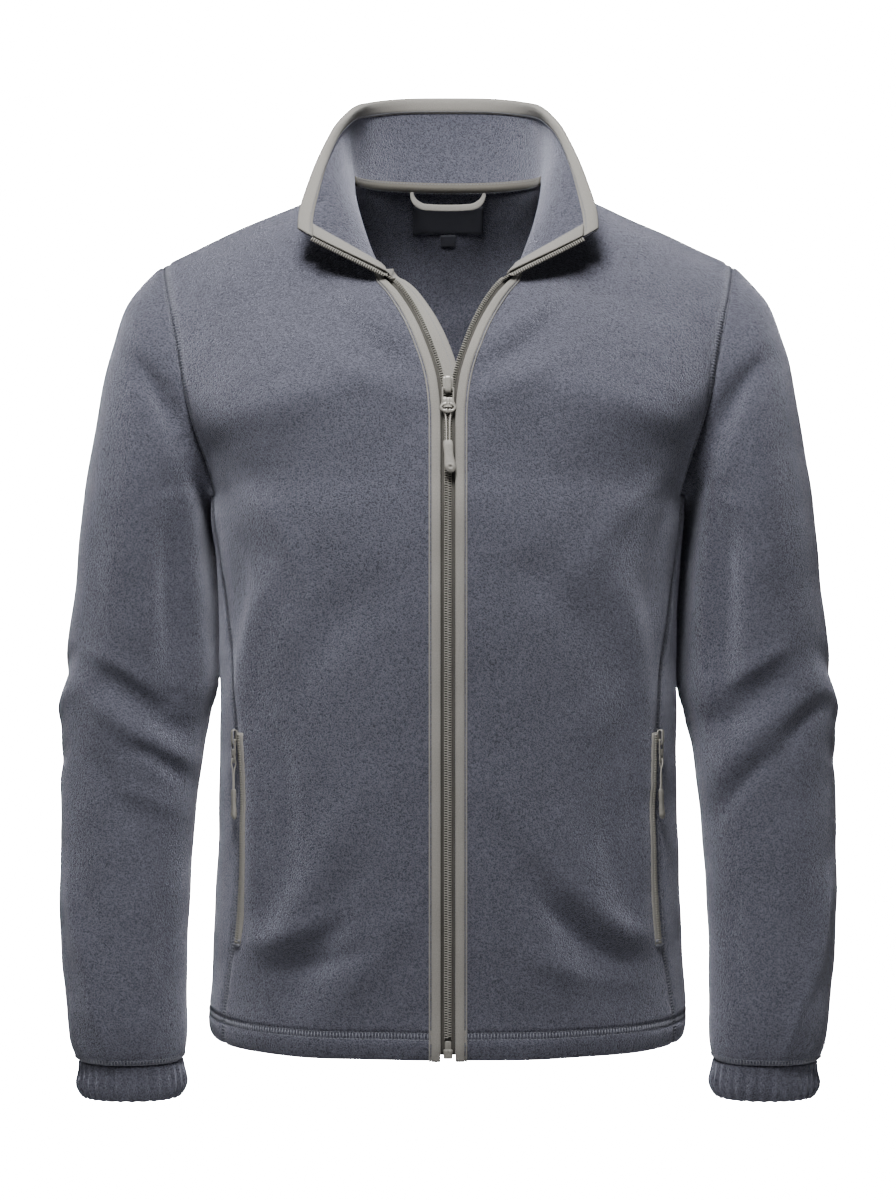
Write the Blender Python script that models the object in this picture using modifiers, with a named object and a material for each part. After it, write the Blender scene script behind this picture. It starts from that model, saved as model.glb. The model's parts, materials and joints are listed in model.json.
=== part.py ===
# Fleece zip jacket, men's size M, filled out as if worn.
# X points to the wearer's left, -Y to the front, +Z up. The origin lies in mid-neck, level with
# the points where the shoulder seams meet the collar. Tables are in millimetres.
import math

import bmesh
import bpy
import numpy as np
from mathutils import Matrix, Vector

MM = 0.001  # metres in a millimetre

# Cloth and trim thicknesses
FLEECE = 2.5
COLLAR_CLOTH = 3.0
TURNED_HEM = 4.4
TAPE = 0.8
BINDING = 0.9
SEAM_GAP = 0.3
TAPE_GAP = 0.8  # behind the cloth, where the tape passes over the fold below the collar
BINDING_GAP = 0.4

# Widths of the trims
PLACKET_WIDTH = 9.0
ZIP_HALF_OPENING = 5.5
COIL_WIDTH = 2.7
COIL_HEIGHT = 1.6
POCKET_TAPE_FRONT = 7.0
POCKET_TAPE_SIDE = 3.0
TRIM_END_GAP = 1.0
BRIDGE_BELOW_HINGE = 7.0

# Grid counts of the cloth walls
FRONT_COLUMNS = 9
BACK_INNER_COLUMNS = 5
SIDE_COLUMNS = 3
GATHERS = 24
CUFF_COLUMNS = GATHERS * 3


def table(names, rows):
    """A short table: one dictionary of named values for each row."""
    names = names.split()
    return [dict(zip(names, row)) for row in rows]


# Horizontal sections of the body below the armpit, hem first. at is the distance up the panel.
# half_width is at the side, front and back are depths at the centre lines, and z holds the heights
# at centre front, side and centre back. front_seam and back_seam place the side panel's seams
# along each quarter, from 0 at the centre front or at the side to 1.
BODY = table("at half_width front back z front_seam back_seam", [
    (0, 190.0, 139, 130, (-678, -678, -678), 0.710, 0.42),
    (12, 191.6, 141, 132, (-666, -666, -666), 0.708, 0.42),
    (42, 189.5, 140, 130, (-636, -636, -636), 0.685, 0.42),
    (93, 187.0, 140, 126, (-585, -585, -585), 0.645, 0.41),
    (140, 184.6, 140, 121, (-538, -538, -538), 0.635, 0.40),
    (200, 183.0, 139, 116, (-478, -478, -478), 0.635, 0.38),
    (275, 182.4, 139, 116, (-402, -403, -403), 0.660, 0.36),
    (330, 182.8, 140, 121, (-343, -348, -346), 0.730, 0.34),
    (378, 185.2, 140, 126, (-288, -300, -294), 0.790, 0.31),
    (410, 188.3, 139, 130, (-252, -270, -260), 0.820, 0.29),
    (430, 188.6, 136, 132, (-230, -250, -238), 0.840, 0.28),
])
FRONT_FULLNESS = 0.70
BACK_FULLNESS = 0.62

# Rows of the front above the armpit, for the wearer's left. edge runs up the front edge, round
# the corner below the collar and along the neck seam to the shoulder seam; arm is the armhole.
# Each way and pull say how the row sets out from that end.
FRONT_YOKE = table("at edge edge_way edge_pull arm arm_way arm_pull", [
    (456, (5.5, -132.8, -195.0), (1.00, -0.02, -0.01), 0.52, (191.3, -46.0, -221.7), (-0.28, -0.96, 0.08), 0.36),
    (482, (8.4, -128.0, -160.0), (1.00, -0.04, -0.02), 0.50, (199.5, -55.0, -198.0), (-0.35, -0.93, 0.10), 0.40),
    (508, (17.8, -118.5, -130.2), (0.98, 0.06, -0.05), 0.40, (204.0, -59.5, -182.0), (-0.42, -0.90, 0.12), 0.40),
    (530, (27.2, -109.0, -109.8), (0.95, 0.18, -0.06), 0.30, (207.0, -60.0, -167.0), (-0.50, -0.84, 0.15), 0.40),
    (550, (38.6, -99.0, -92.4), (0.90, 0.34, -0.05), 0.26, (209.5, -58.5, -152.0), (-0.60, -0.76, 0.20), 0.40),
    (566, (49.0, -89.0, -81.0), (0.85, 0.46, -0.02), 0.24, (212.3, -55.0, -138.0), (-0.68, -0.66, 0.25), 0.39),
    (576, (54.0, -82.5, -74.5), (0.88, 0.40, -0.10), 0.26, (214.6, -51.0, -127.0), (-0.75, -0.55, 0.30), 0.38),
    (598, (66.0, -58.0, -46.0), (0.92, 0.10, -0.25), 0.32, (219.6, -41.0, -106.0), (-0.86, -0.32, 0.38), 0.36),
    (620, (74.0, -30.0, -18.0), (0.92, -0.06, -0.34), 0.33, (225.3, -23.0, -84.0), (-0.91, -0.10, 0.40), 0.34),
    (640, (76.6, 0.0, 0.0), (0.92, 0.00, -0.38), 0.33, (229.0, 0.0, -67.0), (-0.90, 0.00, 0.43), 0.33),
])

# Rows of the back above the armpit: the armhole, the line below the shoulder-neck point and the
# centre back (y, z), with the ways in which the row leaves the first two.
BACK_YOKE = table("at arm arm_way mid mid_out mid_in centre", [
    (470, (200.0, 59, -203), (-0.45, 0.88, 0.06),
     (77.0, 128, -192), (0.99, -0.12, 0.00), (-0.99, 0.10, 0.02), (134, -190)),
    (505, (207.4, 64, -172), (-0.56, 0.81, 0.12),
     (77.0, 126, -150), (0.99, -0.14, -0.03), (-0.99, 0.10, 0.03), (133, -146)),
    (538, (213.5, 58, -142), (-0.70, 0.66, 0.22),
     (77.0, 116, -106), (0.98, -0.16, -0.10), (-0.98, 0.14, 0.06), (125, -98)),
    (570, (220.5, 42, -108), (-0.84, 0.38, 0.36),
     (77.0, 92, -62), (0.96, -0.12, -0.24), (-0.95, 0.28, 0.10), (108, -51)),
    (606, (226.0, 22, -83), (-0.90, 0.14, 0.41),
     (76.8, 46, -21), (0.93, -0.05, -0.34), (-0.75, 0.65, 0.06), (84, -20)),
    (640, (229.0, 0, -67), (-0.90, 0.00, 0.43),
     (76.6, 0, 0), (0.92, 0.00, -0.38), (-0.04, 1.00, 0.00), (62, 1)),
])
BACK_MID_AT = 0.66  # where the middle line cuts the back quarter below the armpit

# Sleeve rings below the armhole seam, for the wearer's left: outer and inner points (x, z), the
# half depth, the middle's y and the roundness exponent.
SLEEVE = table("at outer inner half_depth y power", [
    (26, (251.5, -92), (191.6, -259), 62.0, 0, 2.10),
    (60, (268.5, -133), (192.8, -274), 65.0, 0, 2.10),
    (105, (280.0, -190), (192.0, -296), 65.5, 0, 2.15),
    (155, (290.6, -252), (190.0, -326), 65.0, 1, 2.15),
    (205, (298.0, -318), (188.4, -360), 63.5, 3, 2.15),
    (255, (306.4, -382), (187.6, -397), 61.0, 4, 2.20),
    (300, (310.4, -430), (193.6, -434), 59.0, 4, 2.20),
    (345, (310.4, -478), (199.2, -478), 56.5, 1, 2.20),
    (400, (308.9, -533), (204.4, -533), 53.0, -8, 2.20),
    (450, (307.2, -583), (206.4, -583), 50.0, -18, 2.20),
    (500, (304.0, -633), (207.0, -633), 47.0, -29, 2.20),
    (535, (301.0, -667), (206.6, -667), 44.0, -36, 2.20),
    (553, (297.5, -685), (207.4, -685), 40.0, -39, 2.25),
    (563, (293.0, -694.5), (209.4, -694.5), 35.0, -40, 2.30),
])

# Cuff rings: the same columns, with how far the gathers swell and sink at each.
CUFF = table("outer inner half_depth y power swell", [
    ((292.8, -694.8), (209.6, -694.8), 34.8, -40.0, 2.30, 0.0),
    ((292.4, -701.0), (208.8, -701.0), 33.5, -40.5, 2.25, 0.5),
    ((293.8, -712.0), (207.4, -712.0), 33.0, -41.5, 2.25, 1.4),
    ((289.0, -723.5), (211.6, -723.5), 29.5, -42.5, 2.25, 0.7),
])
CUFF_CLOTH = 2.6

# The collar's top edge for the wearer's left, from the front tip to centre back, and how far its
# middle swells from the straight line between neck seam and edge. share runs along the neck seam.
COLLAR_EDGE = table("share top swell", [
    (0.00, (114.3, -80, -45.0), (-1.7, -5.5, -1.6)),
    (0.09, (113.2, -74, -29.0), (-2.2, -6.5, -1.0)),
    (0.18, (107.4, -66, -8.8), (-2, -7, 0)),
    (0.27, (100.0, -57, 13.0), (0, -6, 1)),
    (0.37, (90.4, -40, 36.5), (2, -4, 2)),
    (0.47, (80.5, -20, 51.2), (4, -2, 1)),
    (0.57, (73.0, 6, 60.5), (4, 1, 0)),
    (0.70, (62.0, 37, 67.0), (3, 3, 0)),
    (0.84, (38.0, 60, 72.0), (1, 4, 0)),
    (1.00, (0.0, 68, 73.5), (0, 4, 0)),
])
COLLAR_ROWS = (0.0, 0.065, 0.25, 0.45, 0.66, 0.845, 1.0)
BINDING_FROM = 0.845
NECK_TAPE_ROW = 0.065

# The guard behind the zip on the wearer's right: from the front edge to its free border.
ZIP_GUARD = table("at reach", [
    (0, (17.5, 2.0, 0.0)),
    (456, (17.5, 2.0, 0.0)),
    (482, (17.0, 3.0, 3.0)),
    (508, (16.0, 3.5, 5.0)),
    (530, (12.5, 4.5, 7.0)),
    (550, (8.5, 5.0, 9.0)),
    (566, (3.5, 4.5, 10.0)),
])

# The largest folds, each a soft ridge (height over 0) or trough through three places (x, z) seen
# from the front or back, with its half breadth. The wearer's right is at x below 0.
FOLDS = table("face start middle end breadth height", [
    ("front", (-132, -312), (-157, -380), (-151, -470), 10, 4.0),
    ("front", (-151, -440), (-150, -520), (-148, -610), 7, 3.2),
    ("front", (126, -300), (146, -375), (153, -470), 10, 4.0),
    ("front", (151, -440), (150, -520), (148, -610), 7, 3.2),
    ("front", (30, -140), (62, -112), (104, -72), 14, 3.5),
    ("front", (-30, -140), (-60, -110), (-96, -74), 14, 3.5),
    ("front", (12, -175), (90, -205), (172, -178), 20, -3.0),
    ("front", (-12, -180), (-95, -215), (-172, -185), 20, -3.0),
    ("front", (-248, -142), (-226, -168), (-208, -205), 9, -6.0),
    ("front", (248, -142), (226, -168), (208, -205), 9, -6.0),
    ("front", (-276, -392), (-240, -412), (-204, -440), 11, -7.0),
    ("front", (-288, -404), (-244, -434), (-204, -462), 9, 4.5),
    ("front", (-250, -446), (-226, -456), (-204, -478), 7, -4.0),
    ("front", (272, -384), (236, -410), (204, -436), 11, -7.0),
    ("front", (286, -402), (240, -440), (204, -484), 9, 4.5),
    ("front", (-302, -542), (-292, -590), (-280, -632), 8, 3.5),
    ("front", (304, -548), (294, -590), (284, -634), 8, 3.5),
    ("back", (-276, -400), (-244, -420), (-206, -430), 11, -6.0),
    ("back", (276, -396), (242, -424), (206, -434), 11, -6.0),
    ("back", (-150, -200), (-110, -290), (-40, -350), 20, 3.5),
    ("back", (150, -190), (104, -280), (30, -340), 20, 3.5),
    ("back", (-120, -420), (-30, -452), (90, -430), 16, -3.5),
])

# Zip pulls: every along is measured down from the slider's top, every out from the slider's seat.
MAIN_PULL = dict(
    plate=(8.4, 11.0, 1.4), arch=(4.9, 13.8, 5.0), hinge_along=10.2, hinge_out=2.9,
    leg_spread=8.2, ring=(12.4, 8.4), ring_at=24.8, eyes=(-2.8, 2.8), eye_radius=1.4,
    cord_diameter=1.3, strand_gap=2.5, grip_at=50.0, grip=(7.4, 7.0, 8.8), grip_length=24.6,
    grip_out=(2.9, 4.3), lean=2.4)
MAIN_PULL_TOP = -157.7
POCKET_PULL = dict(
    plate=(6.4, 9.0, 1.2), arch=(4.2, 12.5, 4.6), hinge_along=8.5, hinge_out=2.6,
    leg_spread=6.6, ring=(7.6, 7.6), ring_at=22.5, eyes=(0.0,), eye_radius=1.95,
    cord_diameter=1.1, strand_gap=1.9, grip_at=46.5, grip=(6.6, 5.8, 7.4), grip_length=23.5,
    grip_out=(2.6, 2.9), lean=2.0)
POCKET_TOP = -429.0
POCKET_BOTTOM = -598.0
# The box and pin at the foot of the main zip
ZIP_BOX = dict(width=7.1, top=-668.5, bottom=-675.8, pin_width=4.8, pin_top=-661.9, thick=2.6)
ZIP_TAPE_FOOT = -674.0
# Width, top and bottom of the two bare labels inside the back neck
LABELS = {"label": (59.0, -13.0, -33.5), "size_tab": (12.4, -34.2, -43.5)}
LABEL_CLOTH = 0.6
LABEL_OFF = 0.6


# Curves and grids

def smooth(stations, values, at):
    """A smooth curve through the values at the stations, with no overshoot, read at other places."""
    s = np.asarray(stations, float)
    v = np.asarray(values, float).reshape(len(s), -1)
    step = np.diff(s)[:, None]
    slope = np.diff(v, axis=0) / step
    m = np.empty_like(v)
    m[1:-1] = (slope[:-1] * step[1:] + slope[1:] * step[:-1]) / (step[:-1] + step[1:])
    limit = 3 * np.minimum(np.abs(slope[:-1]), np.abs(slope[1:]))
    limit[slope[:-1] * slope[1:] <= 0] = 0.0
    m[1:-1] = np.clip(m[1:-1], -limit, limit)
    m[0] = 1.5 * slope[0] - 0.5 * m[1]
    m[-1] = 1.5 * slope[-1] - 0.5 * m[-2]
    at = np.asarray(at, float)
    i = np.clip(np.searchsorted(s, at, side="right") - 1, 0, len(s) - 2)
    h = step[i]
    t = ((at - s[i]) / h[:, 0])[:, None]
    out = (v[i] * (2 * t**3 - 3 * t**2 + 1) + v[i + 1] * (3 * t**2 - 2 * t**3)
           + m[i] * h * (t**3 - 2 * t**2 + t) + m[i + 1] * h * (t**3 - t**2))
    return out.reshape((len(at),) + np.asarray(values, float).shape[1:])


def column(table, name):
    return np.array([row[name] for row in table], float)


def unit(vectors):
    length = np.linalg.norm(vectors, axis=-1, keepdims=True)
    return vectors / np.maximum(length, 1e-9)


def polar(ctrl, a, b, c):
    """The cubic curves' polar values, from which a stretch's own control points are read."""
    q = ctrl[:, :-1] * (1 - a) + ctrl[:, 1:] * a
    q = q[:, :-1] * (1 - b) + q[:, 1:] * b
    return q[:, 0] * (1 - c[:, 0]) + q[:, 1] * c[:, 0]


def stretch(ctrl, start, end):
    """The control points of the part of each cubic between start and end."""
    a = np.broadcast_to(np.asarray(start, float), (len(ctrl),))[:, None, None]
    b = np.broadcast_to(np.asarray(end, float), (len(ctrl),))[:, None, None]
    return np.stack([polar(ctrl, a, a, a), polar(ctrl, a, a, b),
                     polar(ctrl, a, b, b), polar(ctrl, b, b, b)], axis=1)


def along_rows(ctrl, places):
    """Points on each row's cubic at the given distances. places(length) gives them for one row."""
    t = np.linspace(0, 1, 81)[:, None]
    basis = np.hstack([(1 - t) ** 3, 3 * t * (1 - t) ** 2, 3 * t**2 * (1 - t), t**3])
    rows = []
    for c in ctrl:
        fine = basis @ c
        run = np.r_[0, np.cumsum(np.linalg.norm(np.diff(fine, axis=0), axis=1))]
        wanted = places(run[-1])
        rows.append(np.stack([np.interp(wanted, run, fine[:, k]) for k in range(3)], axis=1))
    return np.array(rows)


def mirrored(grid):
    return grid * np.array([-1.0, 1.0, 1.0])


# The body's sections

def quarters():
    """Control points of the front and back quarter of each body section, for the wearer's left."""
    a = column(BODY, "half_width")
    z = column(BODY, "z")
    front = column(BODY, "front")
    back = column(BODY, "back")
    zero = np.zeros(len(a))
    kf = FRONT_FULLNESS
    kb = BACK_FULLNESS
    f = np.stack([np.stack([zero, -front, z[:, 0]], 1), np.stack([kf * a, -front, z[:, 0]], 1),
                  np.stack([a, -kf * front, z[:, 1]], 1), np.stack([a, zero, z[:, 1]], 1)], 1)
    b = np.stack([np.stack([a, zero, z[:, 1]], 1), np.stack([a, kb * back, z[:, 1]], 1),
                  np.stack([kb * a, back, z[:, 2]], 1), np.stack([zero, back, z[:, 2]], 1)], 1)
    return f, b


def yoke_cubic(start, start_way, start_pull, end, end_way, end_pull):
    chord = np.linalg.norm(end - start, axis=1)[:, None]
    return np.stack([start, start + unit(start_way) * chord * start_pull,
                     end + unit(end_way) * chord * end_pull, end], axis=1)


def front_control():
    """Stations and row cubics of the front, from its front edge to its side seam or armhole."""
    quarter, _ = quarters()
    start = ZIP_HALF_OPENING / (3 * FRONT_FULLNESS * column(BODY, "half_width"))
    torso = stretch(quarter, start, column(BODY, "front_seam"))
    yoke = yoke_cubic(column(FRONT_YOKE, "edge"), column(FRONT_YOKE, "edge_way"),
                      column(FRONT_YOKE, "edge_pull")[:, None], column(FRONT_YOKE, "arm"),
                      column(FRONT_YOKE, "arm_way"), column(FRONT_YOKE, "arm_pull")[:, None])
    return np.r_[column(BODY, "at"), column(FRONT_YOKE, "at")], np.concatenate([torso, yoke])


def back_control():
    """Stations and row cubics of the back: armhole to the neck line, and on to the centre."""
    _, quarter = quarters()
    seam = column(BODY, "back_seam")
    outer = stretch(quarter, seam, BACK_MID_AT)
    inner = stretch(quarter, BACK_MID_AT, 1.0)
    arm = column(BACK_YOKE, "arm")
    mid = column(BACK_YOKE, "mid")
    centre = np.insert(column(BACK_YOKE, "centre"), 0, 0.0, axis=1)
    level = np.array([[1.0, 0, 0]] * len(mid))
    yoke_outer = yoke_cubic(arm, column(BACK_YOKE, "arm_way"), 0.36,
                            mid, column(BACK_YOKE, "mid_out"), 0.36)
    yoke_inner = yoke_cubic(mid, column(BACK_YOKE, "mid_in"), 0.40, centre, level, 0.42)
    stations = np.r_[column(BODY, "at"), column(BACK_YOKE, "at")]
    return stations, np.concatenate([outer, yoke_outer]), np.concatenate([inner, yoke_inner])


TORSO_ROWS = np.array([0, 14, 27, 33, 93, 150, 200, 240, 275, 320, 365, 402, 430], float)
FRONT_ROWS = np.r_[TORSO_ROWS, [455, 482, 500, 520, 540, 553, 566, 576, 598, 620, 640]]
BACK_ROWS = np.r_[TORSO_ROWS, [462, 494, 526, 556, 584, 610, 635, 640]]
SLEEVE_ROWS = np.array([0, 13, 32, 60, 100, 145, 190, 235, 275, 310, 345, 390, 440, 490, 530, 553,
                        563], float)
CORNER_ROW = int(np.flatnonzero(FRONT_ROWS == 566)[0])
ARMPIT_ROW = len(TORSO_ROWS) - 1


def front_places(length):
    inner = np.linspace(PLACKET_WIDTH, length - POCKET_TAPE_FRONT, FRONT_COLUMNS - 2)
    return np.r_[0.0, inner, length]


def panels():
    """Outer points of the wearer's-left front, side and back half, before the folds."""
    at, ctrl = front_control()
    front = along_rows(smooth(at, ctrl, FRONT_ROWS), front_places)
    at, outer, inner = back_control()
    outer = along_rows(smooth(at, outer, BACK_ROWS), lambda run: run * np.linspace(0, 1, FRONT_COLUMNS))
    inner = along_rows(smooth(at, inner, BACK_ROWS), lambda run: run * np.linspace(0, 1, BACK_INNER_COLUMNS))
    outer[-1] = front[-1, ::-1]
    back = np.concatenate([outer, inner[:, 1:]], axis=1)
    f, b = quarters()
    at = column(BODY, "at")
    tail = smooth(at, stretch(f, column(BODY, "front_seam"), 1.0), TORSO_ROWS)
    head = smooth(at, stretch(b, 0.0, column(BODY, "back_seam")), TORSO_ROWS)
    tail = along_rows(tail, lambda run: np.array([0.0, min(POCKET_TAPE_SIDE, 0.4 * run), run]))
    head = along_rows(head, lambda run: run * np.linspace(0, 1, SIDE_COLUMNS))
    side = np.concatenate([tail, head[:, 1:]], axis=1)
    side[:, 0] = front[:ARMPIT_ROW + 1, -1]
    side[:, -1] = back[:ARMPIT_ROW + 1, 0]
    return front, side, back


def armhole(front, side, back):
    """The armhole's points, from the armpit up the front, over the shoulder and down the back."""
    middle = SIDE_COLUMNS - 1
    top = side[-1]
    return np.concatenate([top[middle::-1], front[ARMPIT_ROW + 1:, -1],
                           back[-2:ARMPIT_ROW:-1, 0], top[:middle:-1]])


def ring(rows, turn, swell=None):
    """Rings of points: inner point at turn 0, front at a quarter, outer at a half turn."""
    outer = column(rows, "outer")
    inner = column(rows, "inner")
    depth = column(rows, "half_depth")[:, None]
    power = 2 / np.array([row.get("power", 2.25) for row in rows])[:, None]
    c = np.sign(np.cos(turn)) * np.abs(np.cos(turn)) ** power
    s = np.sign(np.sin(turn)) * np.abs(np.sin(turn)) ** power
    half = (outer - inner) / 2
    middle = (outer + inner) / 2
    x = middle[:, :1] - half[:, :1] * c
    z = middle[:, 1:] - half[:, 1:] * c
    y = column(rows, "y")[:, None] - depth * s
    points = np.stack([x, y, z], axis=2)
    if swell is not None:
        way = np.stack([-c, -s, 0 * c], axis=2)
        points = points + unit(way) * swell[..., None]
    return points


def sleeve(loop):
    """The sleeve from the armhole's own points down to the cuff."""
    run = np.linalg.norm(np.diff(np.vstack([loop, loop[:1]]), axis=0), axis=1)
    place = np.r_[0, np.cumsum(run)[:-1]]
    tip = place[int(np.argmax(loop[:, 2]))]
    total = run.sum()
    turn = np.interp(place, [0, tip, total], [0, math.pi, 2 * math.pi])[None, :]
    rings = np.concatenate([loop[None], ring(SLEEVE, turn)])
    stations = np.r_[0.0, column(SLEEVE, "at")]
    return smooth(stations, rings, SLEEVE_ROWS)


def cuff():
    turn = np.linspace(0, 2 * math.pi, CUFF_COLUMNS, endpoint=False)[None, :]
    swell = column(CUFF, "swell")[:, None] * np.cos(GATHERS * turn + 0.4)
    outer = ring(CUFF, turn, swell)
    inner = ring(CUFF, turn, 0.45 * swell - CUFF_CLOTH)
    return outer, inner


def collar(front, back):
    """The collar's half for the wearer's left, from its front edge to centre back."""
    seam = np.concatenate([front[CORNER_ROW:, 0], back[-1, FRONT_COLUMNS:]])
    run = np.r_[0, np.cumsum(np.linalg.norm(np.diff(seam, axis=0), axis=1))]
    share = run / run[-1]
    at = column(COLLAR_EDGE, "share")
    top = smooth(at, column(COLLAR_EDGE, "top"), share)
    swell = smooth(at, column(COLLAR_EDGE, "swell"), share)
    w = np.array(COLLAR_ROWS)[:, None, None]
    return seam + (top - seam) * w + swell * 4 * w * (1 - w)


# Folds and walls

def fold_height(points, normals):
    """How far each point is moved out: the sum of the folds, each a bell across its own line."""
    total = np.zeros(points.shape[:-1])
    for fold in FOLDS:
        a, b, c = (np.array(fold[k], float) for k in ("start", "middle", "end"))
        t = np.linspace(0, 1, 25)[:, None]
        line = a * (1 - t) ** 2 + 2 * (2 * b - 0.5 * a - 0.5 * c) * t * (1 - t) + c * t**2
        flat = points[..., [0, 2]]
        away = np.linalg.norm(flat[..., None, :] - line, axis=-1)
        nearest = away.argmin(axis=-1) / 24
        facing = -normals[..., 1] if fold["face"] == "front" else normals[..., 1]
        fade = np.sin(np.pi * np.clip(nearest, 0.04, 0.96)) ** 0.6
        bell = np.exp(-(away.min(axis=-1) / fold["breadth"]) ** 2)
        total += fold["height"] * bell * fade * np.clip(facing * 1.6, 0, 1)
    return total


def shared_normals(grids, closed):
    """Normals of every grid, averaged where grids share points, so that seams have one normal."""
    spots, pushes = [], []
    for name, g in grids.items():
        if closed[name]:
            g = np.concatenate([g, g[:, :1]], axis=1)
        across = g[1:, 1:] - g[:-1, :-1]
        other = g[:-1, 1:] - g[1:, :-1]
        face = np.cross(other, across)
        for corner in (g[:-1, :-1], g[1:, :-1], g[:-1, 1:], g[1:, 1:]):
            spots.append(corner.reshape(-1, 3))
            pushes.append(face.reshape(-1, 3))
    keys = np.round(np.concatenate(spots), 3)
    _, inverse = np.unique(keys, axis=0, return_inverse=True)
    inverse = inverse.reshape(-1)
    total = np.zeros((inverse.max() + 1, 3))
    np.add.at(total, inverse, np.concatenate(pushes))
    total = unit(total)
    result = {}
    start = 0
    for name, g in grids.items():
        rows, cols = g.shape[:2]
        if closed[name]:
            faces = (rows - 1) * cols
            count = cols
        else:
            faces = (rows - 1) * (cols - 1)
            count = cols - 1
        n = np.zeros_like(g)
        index = inverse[start:start + 4 * faces].reshape(4, rows - 1, count)
        n[:-1, :count] = total[index[0]]
        n[1:, :count] = total[index[1]]
        if not closed[name]:
            n[:-1, 1:] = total[index[2]]
            n[1:, 1:] = total[index[3]]
        result[name] = n
        start += 4 * faces
    return result


def border_move(border, inward, normals, closed):
    """Half a seam's gap, square to the seam's line and to the normal that both its sides share."""
    if closed:
        line = unit(np.roll(border, -1, axis=0) - np.roll(border, 1, axis=0))
    else:
        line = unit(np.gradient(border, axis=0))
    square = unit(np.cross(normals, line))
    way = np.sign((square * (inward - border)).sum(axis=-1, keepdims=True))
    return square * way * SEAM_GAP / 2


def draw_back(grid, normals, closed):
    """Moves the borders inwards by half the gap that a seam keeps."""
    out = grid.copy()
    out[0] += border_move(grid[0], grid[1], normals[0], closed)
    out[-1] += border_move(grid[-1], grid[-2], normals[-1], closed)
    if not closed:
        out[:, 0] += border_move(grid[:, 0], grid[:, 1], normals[:, 0], False)
        out[:, -1] += border_move(grid[:, -1], grid[:, -2], normals[:, -1], False)
    return out


def grid_loops(rows, cols, closed):
    """The corners of each cell, in the order that turns the outside outwards."""
    c = np.arange(cols if closed else cols - 1)
    r = np.arange(rows - 1)
    a = (r[:, None] * cols + c).ravel()
    b = (r[:, None] * cols + (c + 1) % cols).ravel()
    return np.stack([a, a + cols, b + cols, b], 1)


def split(points, loops):
    """Two triangles for each cell. The cut starts at the corner that stands highest, by a measure
    that lies askew, so that walls and strips side by side are cut alike."""
    height = points @ np.array([0, 0.31, 1.0]) + 0.13 * np.abs(points[:, 0])
    a, b, c, d = loops.T
    even = height[loops].argmax(axis=1) % 2 == 0
    first = np.where(even[:, None], np.stack([a, b, c], 1), np.stack([a, b, d], 1))
    second = np.where(even[:, None], np.stack([a, c, d], 1), np.stack([b, c, d], 1))
    return np.concatenate([first, second])


def wall_mesh(outer, inner, closed=False):
    """A closed wall between an outer and an inner grid of the same size."""
    rows, cols = outer.shape[:2]
    count = rows * cols
    points = np.concatenate([outer.reshape(-1, 3), inner.reshape(-1, 3)])
    loops = grid_loops(rows, cols, closed)
    loops = [loops, loops[:, ::-1] + count]
    index = np.arange(count).reshape(rows, cols)
    borders = [index[0], index[-1, ::-1]]
    if closed:
        borders = [np.append(index[0], index[0, 0]), np.append(index[-1], index[-1, 0])[::-1]]
    else:
        borders += [index[::-1, 0], index[:, -1]]
    for border in borders:
        a, b = border[:-1], border[1:]
        loops.append(np.stack([a, b, b + count, a + count], 1))
    return points, split(points, np.concatenate(loops))


def tube_mesh(sections):
    """A closed solid lofted through sections of the same even number of points. Each section runs
    along one side of the solid and back along the other, and its ends are cut across in pairs."""
    rows, cols = sections.shape[:2]
    points = sections.reshape(-1, 3)
    j = np.arange(cols // 2 - 1)
    cap = np.stack([j, j + 1, cols - 2 - j, cols - 1 - j], 1)
    loops = [grid_loops(rows, cols, True), cap, cap[:, ::-1] + (rows - 1) * cols]
    return points, split(points, np.concatenate(loops))


# Objects

MATERIALS = {}


def material(name, colour, roughness, metallic=0.0):
    mat = bpy.data.materials.new(name)
    mat.use_nodes = True
    shader = mat.node_tree.nodes["Principled BSDF"]
    shader.inputs["Base Color"].default_value = (*colour, 1.0)
    shader.inputs["Roughness"].default_value = roughness
    shader.inputs["Metallic"].default_value = metallic
    mat.diffuse_color = (*colour, 1.0)
    MATERIALS[name] = mat


def add_object(name, mesh, finish, holder=None):
    mesh.materials.clear()
    mesh.materials.append(MATERIALS[finish])
    obj = bpy.data.objects.new(name, mesh)
    JACKET.objects.link(obj)
    obj.parent = holder
    return obj


def add_mesh(name, points, faces, finish, smooth_angle=40.0):
    corners = points[faces]
    if np.einsum("ij,ij->", corners[:, 0], np.cross(corners[:, 1], corners[:, 2])) < 0:
        faces = faces[:, ::-1]
    mesh = bpy.data.meshes.new(name)
    mesh.from_pydata((points * MM).tolist(), [], faces.tolist())
    mesh.shade_smooth()
    mesh.set_sharp_from_angle(angle=math.radians(smooth_angle))
    return add_object(name, mesh, finish)


def cloth_walls(grids, closed):
    """Folds the panels, gives them their walls, and returns the outer and inner grids by name."""
    normals = shared_normals(grids, closed)
    for name in grids:
        if name != "collar":
            height = fold_height(grids[name], normals[name])
            grids[name] = grids[name] + normals[name] * height[..., None]
    # The folds move shared points alike, so the collar's seam follows its neighbours.
    grids["collar"][0] = neck_seam(grids)
    normals = shared_normals(grids, closed)
    walls = {}
    for name, outer in grids.items():
        thick = np.full(outer.shape[:2], COLLAR_CLOTH if name == "collar" else FLEECE)
        if name in ("back", "side_left", "side_right"):
            thick[:3] = TURNED_HEM
        if name == "front_left":
            thick[:3, 2:] = TURNED_HEM
        if name == "front_right":
            thick[:3, :-2] = TURNED_HEM
        outer = draw_back(outer, normals[name], closed[name])
        walls[name] = (outer, outer - normals[name] * thick[..., None], normals[name])
    return walls


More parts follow.
